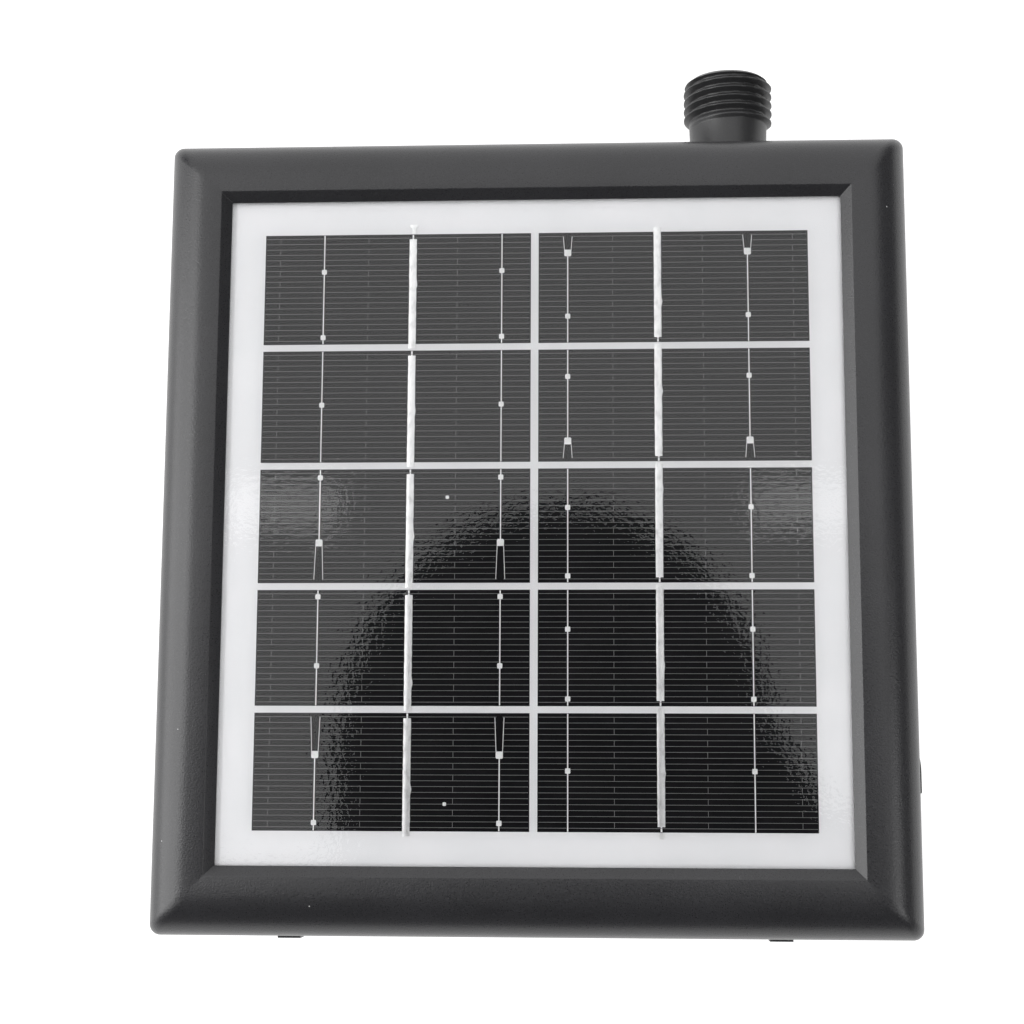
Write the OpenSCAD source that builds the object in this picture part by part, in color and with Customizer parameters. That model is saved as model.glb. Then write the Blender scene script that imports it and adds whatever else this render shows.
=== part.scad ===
// All-in-one solar fountain pump: a framed solar panel over a sealed housing
// that holds the battery, the control board and a magnetically driven pump.
// The face looks up (+Z), the threaded outlet points along +Y, and the unit
// stands on its feet at z = 0. The origin is under the middle of its box.

/* [Panel frame] */
// Outside width of the frame, along X
frame_w = 160; // [156:1:170]
// Outside length of the frame, along Y
frame_l = 170.5; // [166:0.5:180]
// Height of the frame's face above the ground
face_z = 38; // [38:0.5:42]
// Radius of the frame's quarter-round shoulder
shoulder_r = 8.8; // [8.6:0.1:9.2]
// Width of the flat band between the shoulder and the inner bevel
band_w = 3.6; // [3:0.1:4.2]
// Width of the inner bevel in plan
bevel_w = 2.1; // [1.6:0.1:2.6]
// Depth of the inner bevel
bevel_h = 1.7; // [1.5:0.1:2]
// Height of the straight skirt under the shoulder
skirt_h = 2.2; // [1.5:0.1:3]
// Plan radius of the frame's corners
corner_r = 2.2; // [1.5:0.1:4]
// Thickness of the frame moulding
frame_wall = 2.4; // [2.2:0.1:2.6]

/* [Solar laminate] */
// Number of cell columns
cell_columns = 2; // [1:1:2]
// Number of cell rows
cell_rows = 5; // [3:1:5]
// Width of one cell, along X
cell_w = 57.5; // [50:0.5:58]
// Length of one cell, along Y
cell_l = 24.3; // [20:0.1:24.3]
// Gap between the two columns
column_gap = 1.65; // [1:0.05:3]
// Gap between rows
row_gap = 1.45; // [1:0.05:3]
// Width of the tinned ribbon that joins the cells
ribbon_w = 1.65; // [1:0.05:2]
// Thickness of the clear cover film
film_t = 0.5; // [0.3:0.1:0.8]
// Thickness of the cells
cell_t = 0.25; // [0.2:0.05:0.3]
// Thickness of the white backing board
board_t = 2; // [1.6:0.1:2]

/* [Rear housing] */
// Wall thickness of the rear housing
wall = 2.2; // [2:0.1:2.4]
// Height of the feet under the housing floor
foot_h = 3; // [3:0.1:3.4]
// Radius of each foot
foot_r = 7; // [5:0.5:8]
// Radius of the screw shanks that hold the housing to the frame
screw_r = 1.5; // [1.4:0.05:1.6]

/* [Outlet] */
// Distance of the outlet's axis from the middle of the panel
outlet_x = 43; // [41:0.5:44]
// Depth of the outlet's axis below the face
outlet_depth = 22; // [21.5:0.1:22.5]
// Major radius of the outlet's thread
thread_r = 9.9; // [9.5:0.05:10]
// Pitch of the outlet's thread
thread_pitch = 2; // [1.5:0.1:2.5]
// Depth of the outlet's thread
thread_depth = 1.2; // [0.8:0.1:1.3]
// Number of turns of the outlet's thread
thread_turns = 5.3; // [3:0.1:5.4]
// How far the outlet's mouth stands out past the frame
outlet_reach = 18.9; // [17:0.1:24]
// Bore radius at the outlet's mouth
outlet_bore_r = 6.5; // [5.5:0.1:7]

/* [Pump] */
// Distance of the pump's axis from the outlet's axis
pump_offset = 11.5; // [11.5:0.1:12]
// Distance of the pump's axis from the middle of the panel, along Y
pump_y = 48; // [46:0.5:48]
// Radius of the impeller
impeller_r = 11; // [9:0.5:11.5]
// Number of impeller blades
impeller_blades = 6; // [3:1:8]
// Radius of the ceramic shaft
shaft_r = 1; // [1:0.1:1.2]
// Running clearance of the bushes on the shaft
running_gap = 0.03; // [0.01:0.01:0.08]
// Inside radius of the strainer bay
bay_r = 27.5; // [27.5:0.1:28]

/* [Battery and board] */
// Radius of a battery cell
battery_r = 9.2; // [7:0.1:9.2]
// Length of a battery cell
battery_l = 65; // [50:1:65]
// Travel of the power button
button_travel = 1; // [0.5:0.1:1]

/* [Hidden] */
$fn = 96;
// Gaps: round a part that is seated, round a screw in its hole, and between parts that stay clear
fit_gap = 0.05;
hole_gap = 0.15;
clear_gap = 0.3;

// The panel's middle, set back so that the origin is under the whole box.
latch_reach = 0.6;
panel_y = -(outlet_reach - latch_reach) / 2;

// Heights through the frame and the laminate
rim_z = face_z - shoulder_r;
skirt_z = rim_z - skirt_h;
land_h = 0.2;
lip_z = face_z - bevel_h - land_h;
seal_t = 0.4;
film_z = lip_z - seal_t - film_t;
cell_z = film_z - cell_t;
board_z = cell_z - board_t;
ribbon_t = 0.12;
face_in = shoulder_r + band_w;
window_in = face_in + bevel_w;
window_w = frame_w - 2 * window_in;
window_l = frame_l - 2 * window_in;
rib_t = 2.5;
pocket_in = shoulder_r + rib_t;
laminate_in = pocket_in + 0.2;
laminate_w = frame_w - 2 * laminate_in;
laminate_l = frame_l - 2 * laminate_in;
sealant_w = 3;
sealant_t = 1.4;

// The cells' grid
cell_pitch_x = cell_w + column_gap;
cell_pitch_y = cell_l + row_gap;
cell_shift_x = 0.15;
// A cell is a slice of a bigger one, so its middle busbar is off its middle.
busbar_shift = 3.3;
// The busbar's bare end, which the ribbon leaves uncovered
busbar_bare = 1.1;

// Rear housing
tray_in = frame_wall + 0.4;
tray_w = frame_w - 2 * tray_in;
tray_l = frame_l - 2 * tray_in;
tray_r = 5;
tray_edge_r = 2;
floor_t = 2.4;
floor_z = foot_h;
floor_top = floor_z + floor_t;
housing_seal_t = 1;
seat_z = rim_z + housing_seal_t;
seat_w = 2.8;
foot_recess = 0.8;
foot_edge = 0.8;
foot_x = 62;
foot_y = 66;
column_in = 7.7;
column_r = 4;
column_top = rim_z - 0.2;
frame_boss_r = 3.2;
screw_head_r = 2.8;
screw_head_h = 2.2;
screw_head_z = 9;
screw_well_r = screw_head_r + 0.4;
screw_top_z = rim_z + 4.6;
screw_end_gap = 0.4;
screw_xy = [
    for (x = [-1, 0, 1], y = [-1, 0, 1])
        if (x != 0 || y != 0)
            [x * (frame_w / 2 - column_in), y * (frame_l / 2 - column_in)]
];

// Latches on the near edge
latch_x = 51.25;
latch_w = 4.8;
latch_h = 4.5;

// Outlet
outlet_z = face_z - outlet_depth;
outlet_end = frame_l / 2 + outlet_reach;
mouth_land = 1;
neck_r = thread_r - thread_depth;
neck_foot_r = neck_r - 0.25;
thread_start = outlet_end - mouth_land - thread_turns * thread_pitch;
thread_steps = 32;
mouth_chamfer = 0.9;
flange_r = 11;
flange_t = 2.2;
seal_ring_t = 0.9;
flange_y = tray_l / 2 + seal_ring_t;
tail_r = 7.5;
nut_r = 10.2;
nut_t = 2.4;
nut_y = tray_l / 2 - wall - nut_t;
bore_end = frame_l / 2 - 1;
inner_tail_r = 5.3;
inner_tail_end = pump_y + 21;
duct_lap = 5;

// Pump
pump_x = outlet_x - pump_offset;
bay_wall = 2.2;
bay_roof = 21.6;
roof_t = 2;
can_in_r = 6.6;
can_out_r = 7.8;
can_top = 31.4;
can_lid = 1;
shaft_seat_r = 2.2;
shaft_seat_z = can_top - 0.5;
shaft_top = can_top + 0.5;
casing_z = 11.6;
casing_top = bay_roof - 0.2;
casing_r = 16.4;
chamber_r = 14.2;
chamber_shift = 1.2;
chamber_top = 19.8;
duct_r = 3.3;
duct_out_r = 4.2;
cover_t = 1.6;
cover_z = casing_z - cover_t;
shaft_foot = cover_z + 0.6;
cover_seal_in = 0.7;
cover_seal_t = 0.7;
eye_r = 4.6;
lug_ring_r = 18.6;
lug_r = 3.2;
pillar_r = 3;
lug_angles = [100, 200, 320];
pump_screw_r = 1.2;
pump_screw_head_r = 2.4;
pump_screw_head_h = 1.3;
pump_screw_top = 26;
rotor_z = 19.2;
rotor_top = 30.2;
magnet_r = 6;
magnet_in_r = 3.6;
magnet_z = 20.4;
magnet_top = 30;
blade_z = 12.6;
back_z = 17.8;
bush_r = 1.9;
bush_l = 3;
washer_r = 2.1;
washer_t = 0.6;
stator_z = 24.2;
stator_top = 30.4;
stator_h = stator_top - stator_z;
stator_r = 14;
stator_teeth = 6;
tooth_w = 2.6;
yoke_t = 1.8;

// Strainer cap
cap_r = bay_r - 1.5;
cap_gap = 0.35;
cap_end_gap = 0.2;
cap_t = 2;
cap_z = floor_z + 0.2;
cap_ring_top = cap_z + 5.8;
cap_ring_t = 1.2;
cap_ring_r = cap_r - 0.6;
cap_lugs = 3;
lug_arc = 24;
cap_lug_t = 1.4;
cap_lug_reach = 1.6;
lip_t = 1.9;
grip_h = 2.2;
slots = 10;
slot_w = 2.2;
slot_pitch = 4.4;
slot_margin = 3;
sponge_t = 3.2;

// Battery
battery_xs = [-58.4, -39];
battery_pitch = battery_xs[1] - battery_xs[0];
battery_x = (battery_xs[0] + battery_xs[1]) / 2;
battery_y = -8;
battery_z = floor_top + 1.4 + battery_r;
holder_t = 1.2;

// Control board
pcb_x = [14, 72];
pcb_y = [-72, -20];
pcb_z = 13.7;
pcb_t = 1.6;
pcb_top = pcb_z + pcb_t;
pcb_hole_in = 3.5;
pcb_holes = [for (x = [pcb_x[0] + pcb_hole_in, pcb_x[1] - pcb_hole_in],
                  y = [pcb_y[0] + pcb_hole_in, pcb_y[1] - pcb_hole_in]) [x, y]];
pcb_boss_r = 2.6;
pcb_screw_r = 1.1;
connector_xy = [[25, -25], [42, -25], [57, -25]];
connector_size = [9, 4.6, 6];
plug_z = pcb_top + connector_size[2];

// Charging port and its flap
port_y = -51.25;
port_z = 18.8;
port_r = 1.8;
port_hole_r = 2.2;
port_boss_x = 79.6;
port_boss_h = 12;
flap_w = 8.3;
flap_t = 1.5;
flap_x = port_boss_x + clear_gap;
plug_r = 1.55;
plug_l = 1.6;
groove_w = 0.6;
hinge_y = port_y - (flap_w + groove_w) / 2;
strap_w = 4.9;
strap_t = 1.1;

// Power button, under the floor
button_x = 30;
button_y = -45;
button_r = 5;
button_z = 1.2;
button_edge = 0.5;
tact_h = 5.4;

// Status light in the side wall
led_y = -30;
led_z = 17.5;
led_r = 2;

// Leads
lead_r = 0.75;
lead_bend = 1.8;
lead_pitch = 2.1;

// ---------------------------------------------------------------- shared shapes

// Everything is laid out from the middle of the panel, on the ground.
module at_panel() {
    translate([0, panel_y, 0]) children();
}

module at_pump() {
    at_panel() translate([pump_x, pump_y, 0]) children();
}

// The three screw places round the pump's chamber, seen from the pump's axis
module at_lugs() {
    translate([chamber_shift, 0, 0])
        for (a = lug_angles) rotate(a) translate([lug_ring_r, 0, 0]) children();
}

module rounded_plate(w, l, h, r) {
    linear_extrude(h) {
        square([w - 2 * r, l], center = true);
        square([w, l - 2 * r], center = true);
        for (x = [-1, 1], y = [-1, 1])
            translate([x * (w / 2 - r), y * (l / 2 - r)]) circle(r);
    }
}

// A rectangular ring of plain section
module rect_ring(w, l, h, t) {
    difference() {
        translate([-w / 2, -l / 2, 0]) cube([w, l, h]);
        translate([-w / 2 + t, -l / 2 + t, -1]) cube([w - 2 * t, l - 2 * t, h + 2]);
    }
}

module tube(r_out, r_in, h) {
    difference() {
        cylinder(r = r_out, h = h);
        translate([0, 0, -1]) cylinder(r = r_in, h = h + 2);
    }
}

// Section of a block whose two top edges are quarter rounds
module shouldered_section(w, h, r) {
    translate([-w / 2, 0]) square([w, h - r]);
    translate([-w / 2 + r, 0]) square([w - 2 * r, h]);
    for (side = [-1, 1])
        translate([side * (w / 2 - r), h - r]) circle(r);
}

// A block with all four top edges rounded, mitred where they meet
module shouldered_block(w, l, h, r) {
    intersection() {
        translate([0, l / 2 + 1, 0]) rotate([90, 0, 0])
            linear_extrude(l + 2) shouldered_section(w, h, r);
        translate([-w / 2 - 1, 0, 0]) rotate([90, 0, 90])
            linear_extrude(w + 2) shouldered_section(l, h, r);
        translate([-w / 2, -l / 2, 0]) cube([w, l, h]);
    }
}

// A rectangular cut that widens upwards from w by l, by the same amount on each side
module bevel_cut(w, l, h, spread) {
    intersection() {
        translate([0, l / 2 + spread + 1, 0]) rotate([90, 0, 0])
            linear_extrude(l + 2 * spread + 2) bevel_section(w, h, spread);
        translate([-w / 2 - spread - 1, 0, 0]) rotate([90, 0, 90])
            linear_extrude(w + 2 * spread + 2) bevel_section(l, h, spread);
    }
}

module bevel_section(w, h, spread) {
    polygon([[-w / 2, 0], [w / 2, 0], [w / 2 + spread, h], [-w / 2 - spread, h]]);
}

function unit(v) = v / norm(v);

// The route with each inner corner eased by a short parabola that starts reach before it
function eased(route, reach) = [
    route[0],
    for (i = [1 : len(route) - 2])
        let (a = route[i] + reach * unit(route[i - 1] - route[i]),
             b = route[i] + reach * unit(route[i + 1] - route[i]))
            for (t = [0 : 0.2 : 1])
                (1 - t) * (1 - t) * a + 2 * t * (1 - t) * route[i] + t * t * b,
    route[len(route) - 1]
];

function tangents(path) = [
    for (i = [0 : len(path) - 1])
        unit(path[min(i + 1, len(path) - 1)] - path[max(i - 1, 0)])
];

// Side vectors carried along the tangents without twist
function carried(along, i, side) =
    i == len(along) ? [] :
    let (turned = unit(side - (side * along[i]) * along[i]))
        concat([turned], carried(along, i + 1, turned));

// A round lead swept along its route
module lead(route, r) {
    sides = 8;
    path = eased(route, lead_bend);
    along = tangents(path);
    first = abs(along[0][0]) < 0.5 ? [1, 0, 0] : [0, 1, 0];
    across = carried(along, 0, first);
    last = len(path) - 1;
    points = [
        for (i = [0 : last])
            let (up = cross(along[i], across[i]))
                for (k = [0 : sides - 1])
                    path[i] + r * (across[i] * cos(360 * k / sides) + up * sin(360 * k / sides))
    ];
    skin = [
        for (i = [0 : last - 1], k = [0 : sides - 1])
            let (a = sides * i + k, b = sides * i + (k + 1) % sides)
                each [[a, a + sides, b + sides], [a, b + sides, b]]
    ];
    foot = [for (k = [0 : sides - 1]) k];
    head = [for (k = [sides - 1 : -1 : 0]) sides * last + k];
    polyhedron(points = points, faces = concat(skin, [foot, head]));
}

// A cross-slotted screw with a pan head below, its shank pointing up
module screw(head_r, head_h, shank_r, head_z, top_z) {
    edge = 0.4;
    edge_h = 0.6;
    slot_l = head_r * 1.2;
    slot_t = 0.7;
    slot_h = 1;
    translate([0, 0, head_z]) difference() {
        union() {
            cylinder(r1 = head_r - edge, r2 = head_r, h = edge_h);
            translate([0, 0, edge_h]) cylinder(r = head_r, h = head_h - edge_h);
            cylinder(r = shank_r, h = top_z - head_z);
        }
        for (turn = [0, 90])
            rotate(turn) cube([slot_l, slot_t, 2 * slot_h], center = true);
    }
}

// ---------------------------------------------------------------- panel and frame

module front_frame() {
    color([0.1, 0.1, 0.1]) at_panel() {
        difference() {
            union() {
                frame_moulding();
                for (p = screw_xy) translate([p[0], p[1], rim_z + 0.2])
                    cylinder(r = frame_boss_r, h = face_z - rim_z - frame_wall);
            }
            for (p = screw_xy) translate([p[0], p[1], rim_z - 1])
                cylinder(r = screw_r + fit_gap, h = screw_top_z - rim_z + 1 + screw_end_gap);
        }
    }
}

module frame_moulding() {
    difference() {
        intersection() {
            translate([0, 0, skirt_z])
                shouldered_block(frame_w, frame_l, face_z - skirt_z, shoulder_r);
            translate([0, 0, skirt_z - 1])
                rounded_plate(frame_w, frame_l, face_z - skirt_z + 2, corner_r);
        }
        frame_window();
        frame_hollow();
    }
}

// The bevelled window, and behind it the pocket that takes the laminate
module frame_window() {
    translate([-window_w / 2, -window_l / 2, skirt_z - 1])
        cube([window_w, window_l, face_z - skirt_z + 2]);
    translate([0, 0, lip_z + land_h]) bevel_cut(window_w, window_l, bevel_h, bevel_w);
    translate([-frame_w / 2 + pocket_in, -frame_l / 2 + pocket_in, skirt_z - 1])
        cube([frame_w - 2 * pocket_in, frame_l - 2 * pocket_in, lip_z - skirt_z + 1]);
}

// The hollow of the moulding, outside the wall round the pocket
module frame_hollow() {
    rib_z = board_z - sealant_t;
    difference() {
        translate([0, 0, skirt_z - 1])
            shouldered_block(frame_w - 2 * frame_wall, frame_l - 2 * frame_wall,
                             face_z - frame_wall - skirt_z + 1, shoulder_r - frame_wall);
        translate([-frame_w / 2 + shoulder_r, -frame_l / 2 + shoulder_r, rib_z])
            cube([frame_w - 2 * shoulder_r, frame_l - 2 * shoulder_r, face_z - rib_z]);
        translate([0, 0, seat_z])
            rect_ring(frame_w - frame_wall, frame_l - frame_wall, face_z - seat_z,
                      seat_w + frame_wall / 2);
    }
}

module panel_seal() {
    shy = 0.7;
    color([0.05, 0.05, 0.05]) at_panel()
        translate([0, 0, lip_z - seal_t])
            rect_ring(laminate_w, laminate_l, seal_t, window_in - laminate_in - shy);
}

module cover_film() {
    color([0.85, 0.88, 0.9, 0.3]) at_panel()
        translate([-laminate_w / 2, -laminate_l / 2, film_z])
            cube([laminate_w, laminate_l, film_t]);
}

// Places a cell's children at every place in the grid; side is -1 on the left and 1 on the right
module each_cell() {
    for (column = [0 : cell_columns - 1], row = [0 : cell_rows - 1]) {
        $side = column == 0 ? -1 : 1;
        translate([cell_shift_x + (column - (cell_columns - 1) / 2) * cell_pitch_x,
                   ((cell_rows - 1) / 2 - row) * cell_pitch_y, cell_z])
            children();
    }
}

module solar_cells() {
    color([0.05, 0.05, 0.07]) at_panel()
        each_cell() translate([-cell_w / 2, -cell_l / 2, 0]) cube([cell_w, cell_l, cell_t - ribbon_t]);
}

// A ribbon lies on each cell's middle busbar and reaches over the gap to the next cell in the string.
module tabbing_ribbons() {
    reach = row_gap * 0.7;
    color([0.8, 0.8, 0.8]) at_panel() each_cell()
        translate([-$side * busbar_shift - ribbon_w / 2,
                   -cell_l / 2 + ($side < 0 ? -reach : busbar_bare), cell_t - ribbon_t])
            cube([ribbon_w, cell_l - busbar_bare + reach, ribbon_t]);
}

module backing_board() {
    color([0.93, 0.94, 0.95]) at_panel()
        translate([-laminate_w / 2, -laminate_l / 2, board_z])
            cube([laminate_w, laminate_l, board_t]);
}

module panel_sealant() {
    color([0.2, 0.2, 0.2]) at_panel()
        translate([0, 0, board_z - sealant_t])
            rect_ring(laminate_w + clear_gap, laminate_l + clear_gap, sealant_t, sealant_w);
}

// ---------------------------------------------------------------- rear housing

module rear_housing() {
    color([0.12, 0.12, 0.12]) at_panel() difference() {
        union() {
            tray_shell();
            translate([pump_x, pump_y, 0]) bay_walls();
            for (p = screw_xy) translate([p[0], p[1], floor_z])
                cylinder(r = column_r, h = column_top - floor_z);
            for (p = pcb_holes) translate([p[0], p[1], floor_z + 1])
                cylinder(r = pcb_boss_r, h = pcb_z - floor_z - 1);
            for (side = [-1, 1]) translate([side * latch_x, 0, 0]) edge_latch();
            port_boss();
        }
        for (p = screw_xy) translate([p[0], p[1], 0]) screw_well();
        for (p = pcb_holes) translate([p[0], p[1], floor_top])
            cylinder(r = pcb_screw_r + fit_gap, h = pcb_z);
        at_feet() translate([0, 0, floor_z - 1]) cylinder(r = foot_r + fit_gap, h = 1 + foot_recess);
        translate([pump_x, pump_y, 0]) bay_hollow();
        outlet_way();
        side_hole(port_y, port_z, port_hole_r);
        side_hole(led_y, led_z, led_r + fit_gap);
        translate([button_x, button_y, floor_z - 1])
            cylinder(r = button_r + clear_gap, h = floor_t + 2);
    }
}

module at_feet() {
    for (x = [-1, 1], y = [-1, 1])
        translate([x * foot_x, y * foot_y, 0]) children();
}

// A round hole through the housing's wall at +X and any boss on it
module side_hole(y, z, r) {
    translate([tray_w / 2 - wall - 1, y, z]) rotate([0, 90, 0]) cylinder(r = r, h = wall + 10);
}

module tray_shell() {
    difference() {
        intersection() {
            translate([0, 0, floor_z]) rounded_plate(tray_w, tray_l, rim_z - floor_z, tray_r);
            translate([0, 0, rim_z]) mirror([0, 0, 1])
                shouldered_block(tray_w, tray_l, rim_z - floor_z, tray_edge_r);
        }
        translate([0, 0, floor_top])
            rounded_plate(tray_w - 2 * wall, tray_l - 2 * wall, rim_z, tray_r - wall);
    }
}

// Round bay for the strainer and the pump, with the motor's dividing can on its roof
module bay_walls() {
    translate([0, 0, floor_z]) cylinder(r = bay_r + bay_wall, h = bay_roof + roof_t - floor_z);
    translate([0, 0, bay_roof]) cylinder(r = can_out_r, h = can_top + can_lid - bay_roof);
    at_lugs() translate([0, 0, bay_roof])
        cylinder(r = pillar_r, h = pump_screw_top + screw_end_gap + 1.2 - bay_roof);
}

module bay_hollow() {
    translate([0, 0, floor_z - 1])
        cylinder(r = cap_r + cap_gap, h = cap_z + cap_t + cap_end_gap + 1 - floor_z);
    translate([0, 0, floor_z - 1]) cylinder(r = cap_ring_r + cap_gap, h = bay_roof - floor_z);
    translate([0, 0, floor_top + lip_t]) cylinder(r = bay_r, h = bay_roof - floor_top - lip_t);
    lug_notches();
    difference() {
        translate([0, 0, bay_roof - 1]) cylinder(r = can_in_r, h = can_top - bay_roof + 1);
        translate([0, 0, shaft_seat_z]) cylinder(r = shaft_seat_r, h = can_top);
    }
    translate([0, 0, bay_roof]) cylinder(r = shaft_r + fit_gap, h = shaft_top + 0.1 - bay_roof);
    at_lugs() translate([0, 0, bay_roof - 1])
        cylinder(r = pump_screw_r + fit_gap, h = pump_screw_top - bay_roof + 1 + screw_end_gap);
}

// Notches that let the strainer cap's lugs in; the cap then turns away from them
module lug_notches() {
    for (i = [0 : cap_lugs - 1])
        rotate(i * 360 / cap_lugs + lug_arc * 1.5) translate([0, 0, floor_z - 1])
            sector(cap_ring_r + cap_lug_reach + cap_gap, lug_arc + 4, floor_t + lip_t + 2);
}

// A pie slice of the given radius and angle, centred on +X
module sector(r, angle, h) {
    linear_extrude(h) intersection() {
        circle(r);
        polygon([for (p = [[0, 0], [1, -1], [1, 1]])
                 2 * r * [p[0] * cos(angle / 2), p[1] * sin(angle / 2)]]);
    }
}

module screw_well() {
    translate([0, 0, floor_z - 1])
        cylinder(r = screw_well_r, h = screw_head_z + screw_head_h - floor_z + 1);
    translate([0, 0, floor_z]) cylinder(r = screw_r + hole_gap, h = rim_z);
}

module edge_latch() {
    translate([-latch_w / 2, -frame_l / 2 - latch_reach, skirt_z - clear_gap - latch_h])
        cube([latch_w, tray_in + latch_reach + 1, latch_h]);
}

module port_boss() {
    margin = 1;
    translate([tray_w / 2 - 1, hinge_y - strap_w - margin, port_z - port_boss_h / 2])
        cube([port_boss_x - tray_w / 2 + 1, strap_w + flap_w + 2 * margin + groove_w, port_boss_h]);
}

// The way for the outlet through the housing wall and the bay wall
module outlet_way() {
    translate([outlet_x, tray_l / 2 + 1, outlet_z]) rotate([90, 0, 0])
        cylinder(r = tail_r + 0.2, h = wall + 2);
    translate([outlet_x, tray_l / 2 - wall, outlet_z]) rotate([90, 0, 0])
        cylinder(r = inner_tail_r + 0.2, h = tray_l / 2 - wall - pump_y - bay_r / 2);
}

module housing_seal() {
    shy = 0.2;
    inner = 1.5;
    color([0.3, 0.3, 0.32]) at_panel()
        translate([0, 0, rim_z]) difference() {
            rounded_plate(tray_w - 2 * shy, tray_l - 2 * shy, housing_seal_t, tray_r - shy);
            translate([0, 0, -1])
                rounded_plate(tray_w - 2 * inner, tray_l - 2 * inner, housing_seal_t + 2, tray_r - inner);
        }
}

module housing_screws() {
    color([0.75, 0.76, 0.78]) at_panel()
        for (p = screw_xy) translate([p[0], p[1], 0])
            screw(screw_head_r, screw_head_h, screw_r, screw_head_z, screw_top_z);
}

module feet() {
    cup_r = foot_r * 0.45;
    cup_h = 0.6;
    color([0.08, 0.08, 0.08]) at_panel() at_feet() difference() {
        union() {
            cylinder(r1 = foot_r - foot_edge, r2 = foot_r, h = foot_edge);
            translate([0, 0, foot_edge]) cylinder(r = foot_r, h = foot_h + foot_recess - foot_edge);
        }
        translate([0, 0, -1]) cylinder(r = cup_r, h = cup_h + 1);
    }
}

// ---------------------------------------------------------------- outlet

// Everything about the outlet is drawn along +Z and then laid along +Y.
module along_outlet() {
    at_panel() translate([outlet_x, 0, outlet_z]) rotate([-90, 0, 0]) children();
}

module outlet_spout() {
    tail_end = nut_y - clear_gap;
    chamfer_y = outlet_end - mouth_chamfer;
    color([0.11, 0.11, 0.11]) along_outlet() difference() {
        union() {
            translate([0, 0, inner_tail_end])
                cylinder(r = inner_tail_r, h = flange_y - inner_tail_end);
            translate([0, 0, tail_end]) cylinder(r = tail_r, h = flange_y - tail_end);
            translate([0, 0, flange_y]) cylinder(r = flange_r, h = flange_t);
            translate([0, 0, flange_y])
                cylinder(r1 = neck_foot_r, r2 = neck_r, h = thread_start - flange_y);
            translate([0, 0, thread_start]) cylinder(r = neck_r, h = chamfer_y - thread_start);
            translate([0, 0, chamfer_y])
                cylinder(r1 = neck_r, r2 = neck_r - mouth_chamfer / 2, h = mouth_chamfer);
            outlet_thread();
        }
        translate([0, 0, bore_end]) cylinder(r = outlet_bore_r, h = outlet_end);
        translate([0, 0, inner_tail_end - 1]) cylinder(r = duct_out_r + fit_gap, h = outlet_end);
    }
}

// Right-handed helical ridge with a flat crest, fading out over its first and last half turn
module outlet_thread() {
    steps = round(thread_turns * thread_steps);
    fade = thread_steps / 2;
    start_angle = 27;
    root_half = thread_pitch * 0.46;
    crest_half = thread_pitch * 0.16;
    sunk = 0.25;
    rings = [
        for (i = [0 : steps])
            let (a = start_angle + 360 * i / thread_steps,
                 z = thread_start + thread_pitch * i / thread_steps,
                 grow = min(1, (i + 0.4) / fade, (steps - i + 0.4) / (fade / 2)),
                 rise = thread_depth * grow)
                for (q = [[-sunk, -root_half], [rise, -crest_half], [rise, crest_half], [-sunk, root_half]])
                    [(neck_r + q[0]) * cos(a), (neck_r + q[0]) * sin(a), z + q[1]]
    ];
    sides = [
        for (i = [0 : steps - 1], k = [0 : 3])
            let (here = 4 * i + k, next = 4 * i + (k + 1) % 4)
                each [[here, next + 4, here + 4], [here, next, next + 4]]
    ];
    last = 4 * steps;
    ends = [[0, 2, 1], [0, 3, 2], [last, last + 1, last + 2], [last, last + 2, last + 3]];
    polyhedron(points = rings, faces = concat(sides, ends));
}

module outlet_seal() {
    color([0.2, 0.2, 0.2]) along_outlet()
        translate([0, 0, tray_l / 2]) tube(flange_r - 0.6, tail_r + 0.2, seal_ring_t);
}

module outlet_nut() {
    color([0.15, 0.15, 0.15]) along_outlet()
        translate([0, 0, nut_y]) difference() {
            cylinder(r = nut_r, h = nut_t, $fn = 6);
            translate([0, 0, -1]) cylinder(r = tail_r + fit_gap, h = nut_t + 2);
        }
}

// ---------------------------------------------------------------- pump

// Volute with its round lugs, open below; its duct runs on into the outlet's tail
module pump_casing() {
    duct_l = inner_tail_end + duct_lap - pump_y;
    rotor_way_r = can_in_r + 0.6;
    groove_in = cover_seal_in - 0.1;
    color([0.16, 0.16, 0.17]) at_pump() difference() {
        union() {
            translate([chamber_shift, 0, casing_z]) cylinder(r = casing_r, h = casing_top - casing_z);
            at_lugs() translate([0, 0, casing_z]) cylinder(r = lug_r, h = casing_top - casing_z);
            translate([pump_offset, 0, outlet_z]) rotate([-90, 0, 0]) cylinder(r = duct_out_r, h = duct_l);
        }
        translate([chamber_shift, 0, casing_z - 1])
            cylinder(r = chamber_r, h = chamber_top - casing_z + 1);
        translate([0, 0, chamber_top - 1]) cylinder(r = rotor_way_r, h = casing_top - chamber_top + 2);
        translate([pump_offset, 0, outlet_z]) rotate([-90, 0, 0]) cylinder(r = duct_r, h = duct_l + 1);
        at_lugs() translate([0, 0, casing_z - 1])
            cylinder(r = pump_screw_r + hole_gap, h = casing_top - casing_z + 2);
        translate([chamber_shift, 0, casing_z - 1])
            tube(casing_r - groove_in, chamber_r + groove_in, cover_seal_t + 1.1);
    }
}

// Plate with the inlet eye, whose three arms hold the lower end of the shaft
module pump_cover() {
    hub_r = 2.2;
    arm_w = 1.2;
    arm_turn = 40;
    color([0.16, 0.16, 0.17]) at_pump() difference() {
        translate([0, 0, cover_z]) linear_extrude(cover_t) difference() {
            union() {
                translate([chamber_shift, 0]) circle(casing_r);
                at_lugs() circle(lug_r);
            }
            difference() {
                circle(eye_r);
                circle(hub_r);
                for (i = [0 : 2]) rotate(i * 120 + arm_turn)
                    translate([0, -arm_w / 2]) square([eye_r + 1, arm_w]);
            }
            at_lugs() circle(pump_screw_r + hole_gap);
        }
        translate([0, 0, shaft_foot - 0.1]) cylinder(r = shaft_r + fit_gap, h = cover_t);
    }
}

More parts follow.
